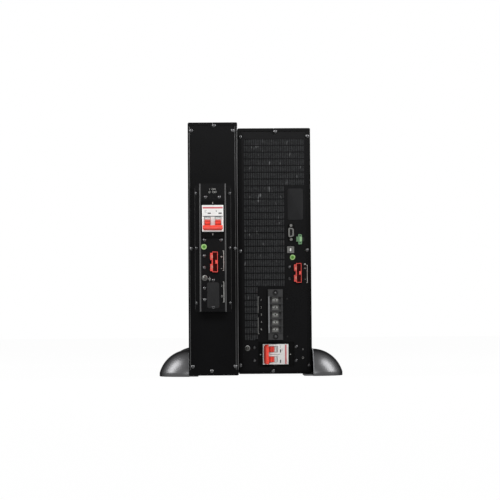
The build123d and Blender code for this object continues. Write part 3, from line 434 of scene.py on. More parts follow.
def foam_with_painted_glints(name, base, glint_colour):
    """Rough foam: a fine noise for its cells, and a noise drawn out upwards whose peaks are pale flecks, painted
    glints.
    """
    material, tree, shader, place = start_material(name, coat(1.4, 0.1) | {"Roughness": 0.85})
    cells = add_node(tree, "ShaderNodeTexNoise", {"Scale": 1 / (2.5 * MM), "Detail": 2.0}, {"Vector": place})
    drawn = add_node(tree, "ShaderNodeMapping", {"Scale": (1, 1, 0.3)}, {"Vector": place})
    peaks = add_node(tree, "ShaderNodeTexNoise", {"Scale": 1 / (4.5 * MM), "Detail": 1.0},
                     {"Vector": drawn.outputs[0]})
    ground = add_node(tree, "ShaderNodeValToRGB", links={"Fac": cells.outputs["Fac"]})
    ground.color_ramp.elements[0].position = 0.35
    ground.color_ramp.elements[0].color = tint(base, 0.75)
    ground.color_ramp.elements[1].position = 0.65
    ground.color_ramp.elements[1].color = tint(base, 1.25)
    chosen = add_node(tree, "ShaderNodeMapRange", {"From Min": 0.68, "From Max": 0.78},
                      {"Value": peaks.outputs["Fac"]})
    mixed = add_node(tree, "ShaderNodeMix", {7: tint(glint_colour, 1.0)},
                     {0: chosen.outputs["Result"], 6: ground.outputs["Color"]}, data_type="RGBA")
    tree.links.new(mixed.outputs[2], shader.inputs["Base Color"])
    return material


def finish_named(name):
    """A finish that has been made, by its name."""
    found = bpy.data.materials.get(name)
    if found is None:
        raise RuntimeError("The finishes have to be made first: " + name)
    return found


def put_finish(node, material):
    """A finish on a CAD node, in the place of what it had."""
    materials = frame["nodes"][node].data.materials
    materials.clear()
    materials.append(material)


def middle_of(low, high):
    """Middle of a box as seen from the rear, across and up."""
    return np.array([(low.x + high.x) / 2, (low.z + high.z) / 2])


def arc(first, last, steps):
    """Points on a unit circle between two angles: the cosine and the sine of each."""
    angle = np.linspace(first, last, steps)
    return np.stack([np.cos(angle), np.sin(angle)], 1)


def quad_grid(rows, columns):
    """Corner numbers of the faces between neighbouring rows of points, each row closed on itself."""
    row, column = np.meshgrid(np.arange(rows - 1), np.arange(columns), indexing="ij")
    first, after = row * columns, (column + 1) % columns
    corners = (first + column, first + after, first + columns + after, first + columns + column)
    return np.stack(corners, -1).reshape(-1, 4)


def lofted(rows):
    """Rows of points, each closed on itself, joined by faces from one row to the next."""
    rows = np.asarray(rows, float)
    return rows.reshape(-1, 3), quad_grid(rows.shape[0], rows.shape[1])


def turned(profile, steps):
    """A profile of (radius, height) turned: x and z are radius times cosine and sine, and -y is height."""
    radius, height = np.asarray(profile, float).T[:, :, None]
    angle = np.linspace(0, 2 * math.pi, steps, endpoint=False)
    return lofted(np.stack([radius * np.cos(angle), 0 * angle - height, radius * np.sin(angle)], -1))


def screw_head(radius, height, cross=True):
    """Turned cap of a sphere; a cross is pressed in where the lesser of |x| and |z| is small."""
    ball = (radius ** 2 + height ** 2) / (2 * height)
    cap = ball * arc(math.pi / 2, math.acos(radius / ball), 12) + [0, height - ball]
    points, faces = turned(np.concatenate([cap, [[0, 0]]]), 24)
    if cross:
        narrow = np.minimum(abs(points[:, 0]), abs(points[:, 2]))
        wide = np.maximum(abs(points[:, 0]), abs(points[:, 2]))
        pressed = np.clip(1.6 - narrow / (0.14 * radius), 0, 1) * np.clip((0.6 - wide / radius) / 0.12, 0, 1)
        upper = -points[:, 1] > 0.5 * height
        points[:, 1] += np.where(upper, pressed * 0.45 * height, 0)
    return points, faces


def rectangle(left, right, bottom, top):
    """Corners of an upright rectangle, once round from its lower left."""
    return np.array([[left, bottom], [right, bottom], [right, top], [left, top]])


def rounded_outline(corners, radius, steps=5):
    """Outline with soft corners: each becomes a curve (1-s)^2 A + 2 s (1-s) P + s^2 B between points on its
    two sides."""
    corners = np.asarray(corners, float)
    s = np.linspace(0, 1, steps)[None, :, None]
    back = np.roll(corners, 1, 0) - corners
    ahead = np.roll(corners, -1, 0) - corners
    first = corners + radius * back / np.linalg.norm(back, axis=1)[:, None]
    last = corners + radius * ahead / np.linalg.norm(ahead, axis=1)[:, None]
    curve = (1 - s) ** 2 * first[:, None] + 2 * s * (1 - s) * corners[:, None] + s ** 2 * last[:, None]
    return curve.reshape(-1, 2)


def level(outline, y):
    """An outline of (x, z) points set at a depth y."""
    return np.stack([outline[:, 0], np.full(len(outline), y), outline[:, 1]], 1)


def prism(outline, front, back):
    """Closed prism of an outline between two depths, with each end drawn together at its middle."""
    middle = np.repeat(outline.mean(0)[None], len(outline), 0)
    return lofted([level(middle, front), level(outline, front), level(outline, back), level(middle, back)])


def upright_strip(loop, foot, head):
    """Closed prism of (x, y) points between two heights: a prism with depth and height exchanged."""
    points, faces = prism(loop, foot, head)
    return points[:, [0, 2, 1]], faces


def ring_prism(outer, inner, front, back):
    """Closed tube between an outer and an inner outline and two depths."""
    return lofted([level(inner, front), level(outer, front), level(outer, back), level(inner, back),
                   level(inner, front)])


def sheet_with_holes(xs, zs, solid, front, back):
    """Flat sheet cut by lines into cells: each solid cell has a front and a back face, and every border
    between a solid and an open cell has a wall between the two depths."""
    across = len(xs)
    count = across * len(zs)
    grid_z, grid_x = np.meshgrid(zs, xs, indexing="ij")
    flat = np.stack([grid_x.ravel(), grid_z.ravel()], 1)
    points = np.concatenate([level(flat, front), level(flat, back)])
    row, column = np.nonzero(solid)
    first = row * across + column
    cell = np.stack([first, first + 1, first + across + 1, first + across], 1)
    edged = np.pad(solid, 1)
    row, column = np.nonzero(edged[1:-1, :-1] != edged[1:-1, 1:])
    upright = row * across + column
    row, column = np.nonzero(edged[:-1, 1:-1] != edged[1:, 1:-1])
    lying = row * across + column
    walls = [np.stack([a, a + step, a + step + count, a + count], 1)
             for a, step in ((upright, across), (lying, 1))]
    faces = np.concatenate([cell, cell[:, ::-1] + count] + walls)
    used, numbered = np.unique(faces, return_inverse=True)
    return points[used], numbered.reshape(-1, 4)


def copies(shape, places):
    """A shape at many places: the same points plus each place."""
    points, faces = shape
    moved = points[None] + np.asarray(places, float)[:, None]
    number = np.arange(len(moved))[:, None, None] * len(points)
    return moved.reshape(-1, 3), (faces[None] + number).reshape(-1, faces.shape[1])


def bars(spans):
    """Closed boxes: each row of spans holds low and high limits along x, y and z, and gives eight corners."""
    spans = np.asarray(spans, float).reshape(-1, 3, 2)
    pick = np.array([[0, 0, 0], [1, 0, 0], [1, 1, 0], [0, 1, 0], [0, 0, 1], [1, 0, 1], [1, 1, 1], [0, 1, 1]])
    points = np.stack([spans[:, axis][:, pick[:, axis]] for axis in range(3)], -1)
    faces = np.array([[0, 3, 2, 1], [4, 5, 6, 7], [0, 1, 5, 4], [1, 2, 6, 5], [2, 3, 7, 6], [3, 0, 4, 7]])
    number = np.arange(len(spans))[:, None, None] * 8
    return points.reshape(-1, 3), (faces[None] + number).reshape(-1, 4)


def plates(fields, corner, front, back):
    """Closed boxes between two depths: left, right, bottom and top of each field, from a corner of (x, z)."""
    fields = np.asarray(fields, float)
    depth = np.repeat([[front, back]], len(fields), 0)
    return bars(np.stack([fields[:, :2] + corner[0], depth, fields[:, 2:] + corner[1]], 1))


def joined(*shapes):
    """Several shapes as one set of points and faces."""
    starts = np.cumsum([0] + [len(points) for points, faces in shapes[:-1]])
    return (np.concatenate([points for points, faces in shapes]),
            np.concatenate([faces + start for (points, faces), start in zip(shapes, starts)]))


def lettering(text, size, thickness):
    """Points and faces of generic characters lying on y = 0, made a mesh from a text curve."""
    curve = bpy.data.curves.new("lettering", "FONT")
    curve.body = text
    curve.size = size * MM
    curve.align_x = "CENTER"
    curve.align_y = "CENTER"
    curve.extrude = thickness * MM / 2
    holder = bpy.data.objects.new("lettering", curve)
    bpy.context.scene.collection.objects.link(holder)
    mesh = bpy.data.meshes.new_from_object(holder)
    mesh.calc_loop_triangles()
    points = np.empty(len(mesh.vertices) * 3, np.float32)
    mesh.vertices.foreach_get("co", points)
    faces = np.empty(len(mesh.loop_triangles) * 3, np.int32)
    mesh.loop_triangles.foreach_get("vertices", faces)
    bpy.data.objects.remove(holder)
    bpy.data.curves.remove(curve)
    bpy.data.meshes.remove(mesh)
    flat = points.reshape(-1, 3).astype(float) / MM
    return np.stack([flat[:, 0], -flat[:, 2], flat[:, 1]], 1), faces.reshape(-1, 3)


def make_piece(name, shape, finish, body="cabinet", sharp=35.0):
    """Mesh object at the origin: seams and poles are merged, faces turned outwards, and it rides its body."""
    points, faces = shape
    mesh = bpy.data.meshes.new(name)
    mesh.from_pydata((points * MM).tolist(), [], faces.tolist())
    work = bmesh.new()
    work.from_mesh(mesh)
    bmesh.ops.remove_doubles(work, verts=work.verts, dist=1e-6)
    bmesh.ops.dissolve_degenerate(work, edges=work.edges, dist=1e-7)
    bmesh.ops.recalc_face_normals(work, faces=work.faces)
    work.to_mesh(mesh)
    work.free()
    mesh.polygons.foreach_set("use_smooth", np.ones(len(mesh.polygons), bool))
    mesh.set_sharp_from_angle(angle=math.radians(sharp))
    mesh.materials.append(finish_named(finish))
    piece = bpy.data.objects.new(name, mesh)
    bpy.context.scene.collection.objects.link(piece)
    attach(piece, body)
    return piece


def on_box(places, y=BOX_FACE):
    """Places on the connector box, across from its middle and up from its bottom."""
    return level(np.reshape(places, (-1, 2)) + BOX_CORNER, y)


def on_ups(places, y=UPS_FACE):
    """Places on the power module's rear, across from its left edge and up from its bottom."""
    return level(np.reshape(places, (-1, 2)) + UPS_CORNER, y)


def tab_places(low, high, right, shift):
    """Screws on the flange tabs: three up each side and one at the top and bottom, each with its shift."""
    x, z = np.meshgrid([low.x + TAB_SIDE, right - TAB_SIDE],
                       [high.z - TAB_TOP, (low.z + high.z) / 2, low.z + TAB_BOTTOM])
    middle = (low.x + right) / 2
    ends = [[middle, high.z - TAB_END], [middle, low.z + TAB_END]]
    return level(np.concatenate([np.stack([x.ravel(), z.ravel()], 1), ends]) + shift, low.y)


class UPS_OT_finishes(bpy.types.Operator):
    """Make every finish and put it on the CAD nodes by their record slots"""
    bl_idname = "ups.finishes"
    bl_label = "Finishes"

    def execute(self, context):
        colours = context.scene.ups_colours
        by_slot = {}
        for slot, name, tone, *look in FINISHES:
            base = getattr(colours, tone) if hasattr(colours, tone) else linear(tone)
            by_slot[slot] = mottled(name, base, *look)
        # The powder coat on the punched panel and the box, painted paler: painted light, for the light that the
        # box face and the slot edges catch
        mottled("punched_panel_coat", tint(colours.paint, PAINTED_LIGHT_PALER)[:3], coat(1.5, 0.06), 2.2, 0.22,
                (0.24, 0.34), 0.12)
        # Open-cell filter foam behind the vent: dark grey with pale flecks that are painted glints
        foam_with_painted_glints("open_cell_foam", linear("444546"), linear("8e8f90"))
        for part in frame["record"]["subparts"]:
            put_finish(part["node"], by_slot[part["material_slot"]])
        for node, finish in NODE_FINISHES:
            put_finish(node, finish_named(finish))
        return {"FINISHED"}


class UPS_OT_panel_screws(bpy.types.Operator):
    """Pan-head screws that hold the two rear panels to the flange tabs"""
    bl_idname = "ups.panel_screws"
    bl_label = "Panel screws"

    def execute(self, context):
        head = screw_head(size_of(context, "screw_radius"), size_of(context, "screw_height"))
        places = np.concatenate([tab_places(BATTERY_LOW, BATTERY_HIGH, BATTERY_RIGHT, BATTERY_TABS),
                                 tab_places(UPS_LOW, UPS_HIGH, UPS_RIGHT, UPS_TABS)])
        make_piece("panel_screws", copies(head, places), "black_zinc_steel")
        return {"FINISHED"}


class UPS_OT_small_screws(bpy.types.Operator):
    """Smaller screws on the connector box and beside the ports"""
    bl_idname = "ups.small_screws"
    bl_label = "Small screws"

    def execute(self, context):
        head = screw_head(size_of(context, "small_radius"), size_of(context, "small_height"))
        places = np.concatenate([on_box(FLANGE_SCREWS, FLANGE_FACE), on_box(FACE_SCREWS),
                                 on_ups(PORT_SCREWS)])
        make_piece("small_screws", copies(head, places), "black_zinc_steel")
        return {"FINISHED"}


class UPS_OT_earth_screws(bpy.types.Operator):
    """Earth screws: a washer and a domed head with a cross"""
    bl_idname = "ups.earth_screws"
    bl_label = "Earth screws"

    def execute(self, context):
        radius, washer_height, seat, head_height = size_of(context, "earth_radius"), 1.2, 0.8, 2.2
        profile = np.array([[0, 0.7], [0.94, 0.7], [1, 0.6], [1, 0], [0, 0]]) * [radius, washer_height]
        head = copies(screw_head(0.72 * radius, head_height), [(0, -seat, 0)])
        places = np.concatenate([on_box(BATTERY_EARTH), on_ups(UPS_EARTH)])
        make_piece("earth_screws", copies(joined(turned(profile, 32), head), places), "bare_zinc_plating")
        return {"FINISHED"}


class UPS_OT_terminal_screws(bpy.types.Operator):
    """Clamp screws in the terminal lanes, the marker strip, and the screws at the block's ends"""
    bl_idname = "ups.terminal_screws"
    bl_label = "Terminal screws"

    def execute(self, context):
        low, high = box_of("terminal_clamps")
        z = np.linspace(low.z + LANE_HEIGHT / 2, high.z - LANE_HEIGHT / 2, LANES)
        places = level(np.stack([np.full(LANES, (low.x + high.x) / 2), z], 1), low.y)
        points, faces = screw_head(size_of(context, "clamp_radius"), 2.4, cross=False)
        oval = (points * [1.2, 1.0, 0.7], faces)
        make_piece("clamp_screws", copies(oval, places), "dull_tin_plating")
        # A near-black disc in the middle of each clamp screw: painted shade of its recess
        recess = turned([[0, 2.45], [1.3, 2.45], [1.3, 1.0], [0, 1.0]], 20)
        make_piece("clamp_recesses", copies(recess, places), "black_contact_carrier")
        corner = (BLOCK_LOW.x, (BLOCK_LOW.z + BLOCK_HIGH.z) / 2)
        # Pale grey strip on the block's left wall: a marker strip whose pale tone is partly painted highlight on
        # the lit wall edge
        strip = plates([[0.1, 2.4, -MARKER_HALF, MARKER_HALF]], corner, BLOCK_LOW.y - 0.15, BLOCK_LOW.y + 0.5)
        make_piece("block_marker_strip", strip, "grey_moulded_polyamide")
        middle, end = (BLOCK_LOW.x + BLOCK_HIGH.x) / 2, 6.0
        ends = level(np.array([[middle, BLOCK_LOW.z + end], [middle, BLOCK_HIGH.z - end]]), BLOCK_LOW.y + 3.0)
        ring = turned([[3.6, 0], [3.6, 1.6], [3.9, 2.0], [4.5, 2.0], [4.8, 1.6], [4.8, 0], [3.6, 0]], 32)
        make_piece("block_collars", copies(ring, ends), "black_contact_carrier")
        make_piece("block_screws", copies(screw_head(3.0, 1.4), ends), "black_zinc_steel")
        return {"FINISHED"}


def toggle_axes(pin):
    """Directions of a toggle at rest: along its pin, out along its neck, and square to both upwards."""
    forward = np.array([0.0, -1.0, 0.0])
    up = np.cross(pin, forward)
    neck = math.cos(OFF_ANGLE) * forward - math.sin(OFF_ANGLE) * up
    side = math.cos(OFF_ANGLE) * up + math.sin(OFF_ANGLE) * forward
    return np.stack([pin, neck, side])


def drum_guards():
    """White guards on the toggle drums: for each toggle, two strips of a cylinder above and below its neck.

    A point is its distance along the pin, then the radius times the cosine and the sine of its angle from
    the neck; inner and outer radius close each strip.
    """
    along = np.array([-GUARD_HALF, GUARD_HALF, GUARD_HALF, -GUARD_HALF])
    radius = np.repeat(GUARD_RADII, 2)
    shapes = []
    for middle in TOGGLES:
        for first, last in GUARD_ANGLES:
            angle = np.linspace(first, last, 17)[:, None]
            rows = np.stack([middle + along + 0 * angle, radius * np.cos(angle), radius * np.sin(angle)], -1)
            points, sides = lofted(rows)
            caps = np.array([np.arange(4), len(points) - 4 + np.arange(4)])
            shapes.append((points, np.concatenate([sides, caps])))
    return joined(*shapes)


class UPS_OT_breaker_trim(bpy.types.Operator):
    """Guards and painted shade on the grooves and tie bars that turn with the toggles, printed fields, and painted
    shade round the battery breaker
    """
    bl_idname = "ups.breaker_trim"
    bl_label = "Breaker trim"

    def execute(self, context):
        ink = size_of(context, "ink_height")
        pivots = {joint["name"]: np.array(joint["pos_m"]) / MM for joint in frame["joints"]}
        for name, pin, lines, lying in (("battery", (-1.0, 0, 0), BATTERY_LINES, False),
                                        ("input", (0, 0, 1.0), INPUT_LINES, True)):
            axes, pivot = toggle_axes(pin), pivots[name + "_breaker_switch"]
            for part, (points, faces), finish, slot in (
                    ("_toggle_guards", drum_guards(), "handled_white_nylon", "breaker_plastic"),
                    ("_toggle_shades", bars(TOGGLE_SHADES), "shaded_red_nylon", "red_plastic")):
                make_piece(name + part, (pivot + points @ axes, faces), finish, name + "_handle")
            self.print_fields(name + "_breaker", ink, lines, lying)
        # Dark plates on the box face above and below the battery breaker: painted shade round the breaker's nose
        surround = plates(BREAKER_SHADE_PLATES, BOX_CORNER, BOX_FACE - 0.03, BOX_FACE + 0.05)
        make_piece("breaker_surround", surround, "matt_painted_steel")
        return {"FINISHED"}

    def print_fields(self, name, ink, lines, lying):
        """Print on one nose, across and up from its middle; a lying breaker is the upright one turned."""
        low, high = box_of(name + "_body")
        middle = middle_of(low, high)
        for part, finish, fields in (("_stripe", "red_pad_print", BREAKER_STRIPE),
                                     ("_marks", "dark_pad_print", BREAKER_MARKS),
                                     ("_lines", "grey_pad_print", lines)):
            if lying:
                fields = np.array(fields)[:, [2, 3, 1, 0]] * [1, 1, -1, -1]
            shape = plates(fields, middle, low.y - ink, low.y + ink)
            make_piece(name + part, shape, finish)


class UPS_OT_stickers(bpy.types.Operator):
    """Round green stickers on the connector box and beside the ports"""
    bl_idname = "ups.stickers"
    bl_label = "Stickers"

    def execute(self, context):
        scale = [size_of(context, "sticker_radius"), 1]
        places = np.concatenate([on_box(BATTERY_STICKER), on_ups(UPS_STICKER)])
        disc = np.array([[0, 0.15], [0.5, 0.15], [0.97, 0.15], [1, 0.1], [1, -0.05], [0, -0.05]]) * scale
        make_piece("round_stickers", copies(turned(disc, 40), places), "coated_paper")
        middle = np.array([[0, 0.2], [0.56, 0.2], [0.6, 0.1], [0, 0.1]]) * scale
        make_piece("sticker_middles", copies(turned(middle, 32), places), "green_print")
        return {"FINISHED"}


class UPS_OT_printed_marks(bpy.types.Operator):
    """Screen-printed generic marks: on and off signs, polarity signs, terminal numbers and the earth signs"""
    bl_idname = "ups.printed_marks"
    bl_label = "Printed marks"

    def execute(self, context):
        ink = size_of(context, "ink_height")
        words = [copies(lettering(text, size, 2 * ink), put(place))
                 for marks, put in ((BOX_WORDS, on_box), (UPS_WORDS, on_ups)) for text, size, place in marks]
        make_piece("printed_characters", joined(*words), "screen_print_ink")
        strokes = joined(plates(BOX_STROKES, BOX_CORNER, BOX_FACE - ink, BOX_FACE + ink),
                         plates(UPS_STROKES, UPS_CORNER, UPS_FACE - ink, UPS_FACE + ink))
        make_piece("printed_strokes", strokes, "screen_print_ink")
        dot = turned([[0, ink], [1.5, ink], [1.6, 0], [0, -ink]], 20)
        make_piece("printed_dot", copies(dot, on_ups(LINK_DOT)), "screen_print_ink")
        return {"FINISHED"}


class UPS_OT_vent_panel(bpy.types.Operator):
    """Perforated rear panel with the slots at their true pitch, and the filter behind it"""
    bl_idname = "ups.vent_panel"
    bl_label = "Vent panel"

    def execute(self, context):
        pitch, rise = size_of(context, "slot_pitch"), size_of(context, "slot_rise")
        half_x, half_z = size_of(context, "slot_width") / 2, size_of(context, "slot_height") / 2
        low, high = box_of("ups_rear_panel")
        left, _, top = on_ups(VENT_CORNER)[0]
        columns = max(count for count, rows in VENT_BLOCKS)
        per_row = np.repeat(*np.transpose(VENT_BLOCKS))
        slot_x = left + (np.arange(columns) + 0.5) * pitch
        slot_z = top - (np.arange(len(per_row)) + 0.5) * rise
        holes = []
        for node, in_x, in_z in PANEL_HOLES:
            near, far = box_of(node)
            holes.append((near.x + in_x, far.x - in_x, near.z + in_z, far.z - in_z))
        holes = np.array(holes)
        xs = np.concatenate([[low.x, high.x], slot_x - half_x, slot_x + half_x, holes[:, :2].ravel()])
        zs = np.concatenate([[low.z, high.z], slot_z - half_z, slot_z + half_z, holes[:, 2:].ravel()])
        xs, zs = np.unique(xs.round(4)), np.unique(zs.round(4))
        x, z = (xs[1:] + xs[:-1]) / 2, (zs[1:] + zs[:-1]) / 2
        in_column = abs(x[:, None] - slot_x) < half_x
        in_row = abs(z[:, None] - slot_z) < half_z
        allowed = np.arange(columns) < per_row[:, None]
        slots = in_row.astype(int) @ allowed.astype(int) @ in_column.T.astype(int) > 0
        left_of, right_of, under, over = holes.T[:, :, None, None]
        inside = (x > left_of) & (x < right_of) & (z[:, None] > under) & (z[:, None] < over)
        solid = ~(slots | inside.any(0))
        sheet = sheet_with_holes(xs, zs, solid, low.y, high.y)
        panel = make_piece("perforated_panel", sheet, "punched_panel_coat")
        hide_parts("ups_rear_panel")
        mats = []
        for count, rows in VENT_BLOCKS:
            mats.append((left - FILTER_MARGIN, left + count * pitch + FILTER_MARGIN, top - rows * rise, top))
            top -= rows * rise
        front, back = (high.y + depth for depth in FILTER_DEPTHS)
        make_piece("filter_mats", plates(mats, (0, 0), front, back), "open_cell_foam")
        return {"FINISHED"}


class UPS_OT_port_details(bpy.types.Operator):
    """Serial port, relay terminal and covers in the place of the CAD ones, and the square port's inside"""
    bl_idname = "ups.port_details"
    bl_label = "Port details"

    def execute(self, context):
        self.make_serial()
        self.make_square_port()
        self.make_relay()
        self.make_covers()
        plug = turned([[0, 0.05], [1.5, 0.05], [1.6, 0.02], [1.6, -0.1], [0, -0.1]], 20)
        plugs = copies(plug, on_ups(SMALL_HOLES))
        make_piece("plugged_holes", plugs, "black_contact_carrier")
        return {"FINISHED"}

    def make_serial(self):
        """Serial port: a tube with a slanted outline, six-sided nuts, a thin flange and a dark well."""
        low, high = box_of("serial_port")
        face = UPS_FACE
        middle = middle_of(low, high) - [0.3, 0.6]
        outer = middle + rounded_outline(SERIAL_SHELL, 3.2)
        inner = middle + rounded_outline(SERIAL_WELL, 2.0)
        flange = middle + rounded_outline(rectangle(-6.0, 6.0, -15.4, 15.4), 2.0)
        nut = middle + 2.7 * arc(0, 5 * math.pi / 3, 6)
        nuts = [prism(nut + [0, up], face - 4.6, face) for up in (-SERIAL_NUT, SERIAL_NUT)]
        port = make_piece("serial_shell", joined(ring_prism(outer, inner, face - 5.6, face), *nuts),
                          "tarnished_zinc")
        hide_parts("serial_port")
        make_piece("serial_flange", prism(flange, face - 0.8, face), "matt_painted_steel")
        make_piece("serial_carrier", prism(inner, face - 3.0, face), "black_contact_carrier")

    def make_square_port(self):
        """Square port: boxes for its white tongue, the cheeks beside it and the dark lips above and below."""
        low, high = box_of("usb_port")
        face = UPS_FACE
        middle = middle_of(low, high)
        tongue = plates([[-1.6, 1.0, -2.8, 2.8]], middle, face - 0.6, face + 6)
        make_piece("square_port_tongue", tongue, "white_moulded_polyester")
        cheeks = plates([[-5.0, -2.8, -4.4, 4.4], [2.0, 5.0, -4.4, 4.4]], middle, face - 0.1, face + 8)
        make_piece("square_port_cheeks", cheeks, "tarnished_zinc")
        lips = plates([[-3.6, 3.6, -5.6, -4.4], [-3.6, 3.6, 4.4, 5.6]], middle, face - 0.15, face + 0.4)
        make_piece("square_port_lips", lips, "black_contact_carrier")

    def make_relay(self):
        """Plug-in terminal: soft prisms for a tall header, its raised plug, a coding lug and a latch."""
        low, high = box_of("relay_terminal")
        middle = np.array([low.x + 7.4, (low.z + high.z) / 2])
        out, face = low.y, UPS_FACE
        body = middle + rounded_outline(rectangle(-3.6, 2.4, -9.0, 8.4), 0.8)
        raised = middle + rounded_outline(rectangle(-1.4, 2.8, -4.0, 4.0), 0.8)
        lug = middle + rounded_outline(rectangle(-7.0, -4.4, -4.4, 4.4), 0.5)
        latch = middle + rounded_outline(rectangle(3.0, 6.8, -3.6, 3.6), 1.0)
        bridge = middle + rectangle(-4.6, -3.4, -2.4, 2.4)
        header = joined(prism(body, out + 2, face), prism(lug, out + 3, face))
        green = make_piece("relay_header", header, "green_moulded_polyamide")
        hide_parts("relay_terminal")
        make_piece("relay_latch", prism(latch, face - 2.4, face), "spark_grained_abs")
        wells = [prism(middle + rectangle(-1.9, 0.9, up - 1.0, up + 1.0), out + 1.9, out + 2.4)
                 for up in (-6.2, 6.2)]
        make_piece("relay_wells", joined(*wells, prism(bridge, out + 4, face)), "dark_green_polyamide")
        make_piece("relay_plug", prism(raised, out, out + 2.4), "pale_green_polyamide")

    def make_covers(self):
        """Slot and blank covers with round corners and a softened rim, in the place of the CAD covers."""
        shapes = []
        for node in ("slot_cover", "blank_cover"):
            low, high = box_of(node)
            corners = rectangle(low.x, high.x, low.z, high.z)
            middle = corners.mean(0)
            outer = rounded_outline(corners, 4.0, 9)
            inner = middle + (outer - middle) * (1 - 1.2 / np.abs(corners - middle).min(0))
            centre = np.repeat(middle[None], len(outer), 0)
            shapes.append(lofted([level(centre, low.y), level(inner, low.y), level(outer, low.y + 0.4),
                                  level(outer, high.y), level(centre, high.y)]))
        covers = make_piece("moulded_covers", joined(*shapes), "spark_grained_abs")
        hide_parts("slot_cover", "blank_cover")


def connector_shape(left, face, z):
    """Two-pole connector: cells of a keyed frame on the right and of two tongues on the left, each a sheet of
    its own depth, with boxes for the dark well and the two blades."""
    edge, right = left + PLUG_TONGUE, left + PLUG_WIDTH
    out, wall, inner_half = face - PLUG_OUT, PLUG_WALL, PLUG_HALF - PLUG_WALL
    xs = np.array([edge, edge + wall, right - wall - PLUG_KEY_REACH, right - wall, right])
    zs = z + np.array([-PLUG_HALF, -inner_half, -PLUG_KEY, PLUG_KEY, inner_half, PLUG_HALF])
    solid = np.ones((5, 4), bool)
    solid[1:4, 1:3] = False
    solid[2, 2] = True
    keyed = sheet_with_holes(xs, zs, solid, out, face)
    xs = np.array([left, edge - wall, edge])
    zs = z + np.array([-PLUG_TONGUE_HALF, -PLUG_NOTCH, PLUG_NOTCH, PLUG_TONGUE_HALF])
    solid = np.ones((3, 2), bool)
    solid[1, 0] = False
    tongues = sheet_with_holes(xs, zs, solid, out + PLUG_STEP, face)
    well = plates([[wall, right - wall - edge, -inner_half, inner_half]], (edge, z), out + PLUG_WELL, face)
    fields = [[-1, 1, up - BLADE_HALF, up + BLADE_HALF] for up in (-BLADE_PLACE, BLADE_PLACE)]
    blades = plates(fields, (edge, z), out + 0.4, face - 0.5)
    return joined(keyed, tongues), well, blades


class UPS_OT_connectors(bpy.types.Operator):
    """Direct-current connectors with thin-walled frames and blades, in the place of the CAD ones"""
    bl_idname = "ups.connectors"
    bl_label = "Connectors"

    def execute(self, context):
        shapes = []
        for node, face, shift in (("battery_dc_connector", BOX_FACE, PLUG_SHIFT),
                                  ("ups_dc_connector", UPS_FACE, 0)):
            low, high = box_of(node)
            shapes.append(connector_shape(low.x + shift, face, (low.z + high.z) / 2))
        housings, wells, blades = (joined(*pair) for pair in zip(*shapes))
        red = make_piece("connector_housings", housings, "red_moulded_polycarbonate")
        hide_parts("battery_dc_connector", "ups_dc_connector")
        make_piece("connector_wells", wells, "shaded_polycarbonate")
        silver = make_piece("contact_blades", blades, "silver_plated_copper")
        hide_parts("battery_dc_contacts", "ups_dc_contacts")
        return {"FINISHED"}


class UPS_OT_box_bends(bpy.types.Operator):
    """Glossier coat along the two long bends of the connector box, painted paler as a highlight"""
    bl_idname = "ups.box_bends"
    bl_label = "Box bends"

    def execute(self, context):
        skin, end = 0.04, 0.2
        half = (BOX_HIGH.x - BOX_LOW.x) / 2 - BOX_FLANGE
        bend = arc(-math.pi / 2, 0, 9)
        loop = np.concatenate([bend * (BOX_BEND + skin), bend[::-1] * (BOX_BEND - skin)])
        loop += [half - BOX_BEND, BOX_BEND]
        place = [BOX_CORNER[0], BOX_FACE]
        foot, head = BOX_LOW.z + end, BOX_HIGH.z - end
        strips = [upright_strip(loop * [side, 1] + place, foot, head) for side in (-1, 1)]
        make_piece("box_bends", joined(*strips), "burnished_powder_coat")
        return {"FINISHED"}


class UPS_OT_panel_seams(bpy.types.Operator):
    """Rolled beads up the edges of the battery cover and box flanges, painted paler as highlights, and dark seams
    of painted shadow round the panels
    """
    bl_idname = "ups.panel_seams"
    bl_label = "Panel seams"

    def execute(self, context):
        depth, wide, foot = 0.05, 0.9, 3.0
        half_round = arc(0, -math.pi, 9)
        cover = (BATTERY_LOW.y, BATTERY_LOW.z + 10, BATTERY_HIGH.z - 7)
        flange = (FLANGE_FACE, BOX_LOW.z + 5, BOX_HIGH.z - 5)
        beads = []
        for x, radius, (y, bottom, top) in (
                (BATTERY_LOW.x + 2.9, 0.7, cover), (BATTERY_RIGHT - 4.4, 0.7, cover),
                (BATTERY_RIGHT - 1.0, 0.9, cover), (BOX_LOW.x + 1.2, 0.32, flange),
                (BOX_HIGH.x - 1.2, 0.32, flange)):
            beads.append(upright_strip(half_round * radius + [x, y + depth], bottom, top))
        make_piece("edge_beads", joined(*beads), "burnished_powder_coat")
        # Dark strips left, right and over each panel: painted shadow in the gaps between panel and flange
        seams = []
        for x0, x1, low, top, y in (
                (BATTERY_LOW.x + 4.4, BATTERY_RIGHT - 5.8, BATTERY_LOW, 3.8, BATTERY_LOW.y),
                (UPS_LOW.x + 6.8, UPS_RIGHT - 8.4, UPS_LOW, 5.3, UPS_FACE)):
            z0, z1 = low.z + foot, BATTERY_HIGH.z - top
            fields = [[x0 - wide, x0, z0, z1], [x1, x1 + wide, z0, z1], [x0, x1, z1 - wide, z1]]
            seams.append(plates(fields, (0, 0), y - depth, y + depth))
        make_piece("panel_seams", joined(*seams), "matt_painted_steel")
        return {"FINISHED"}


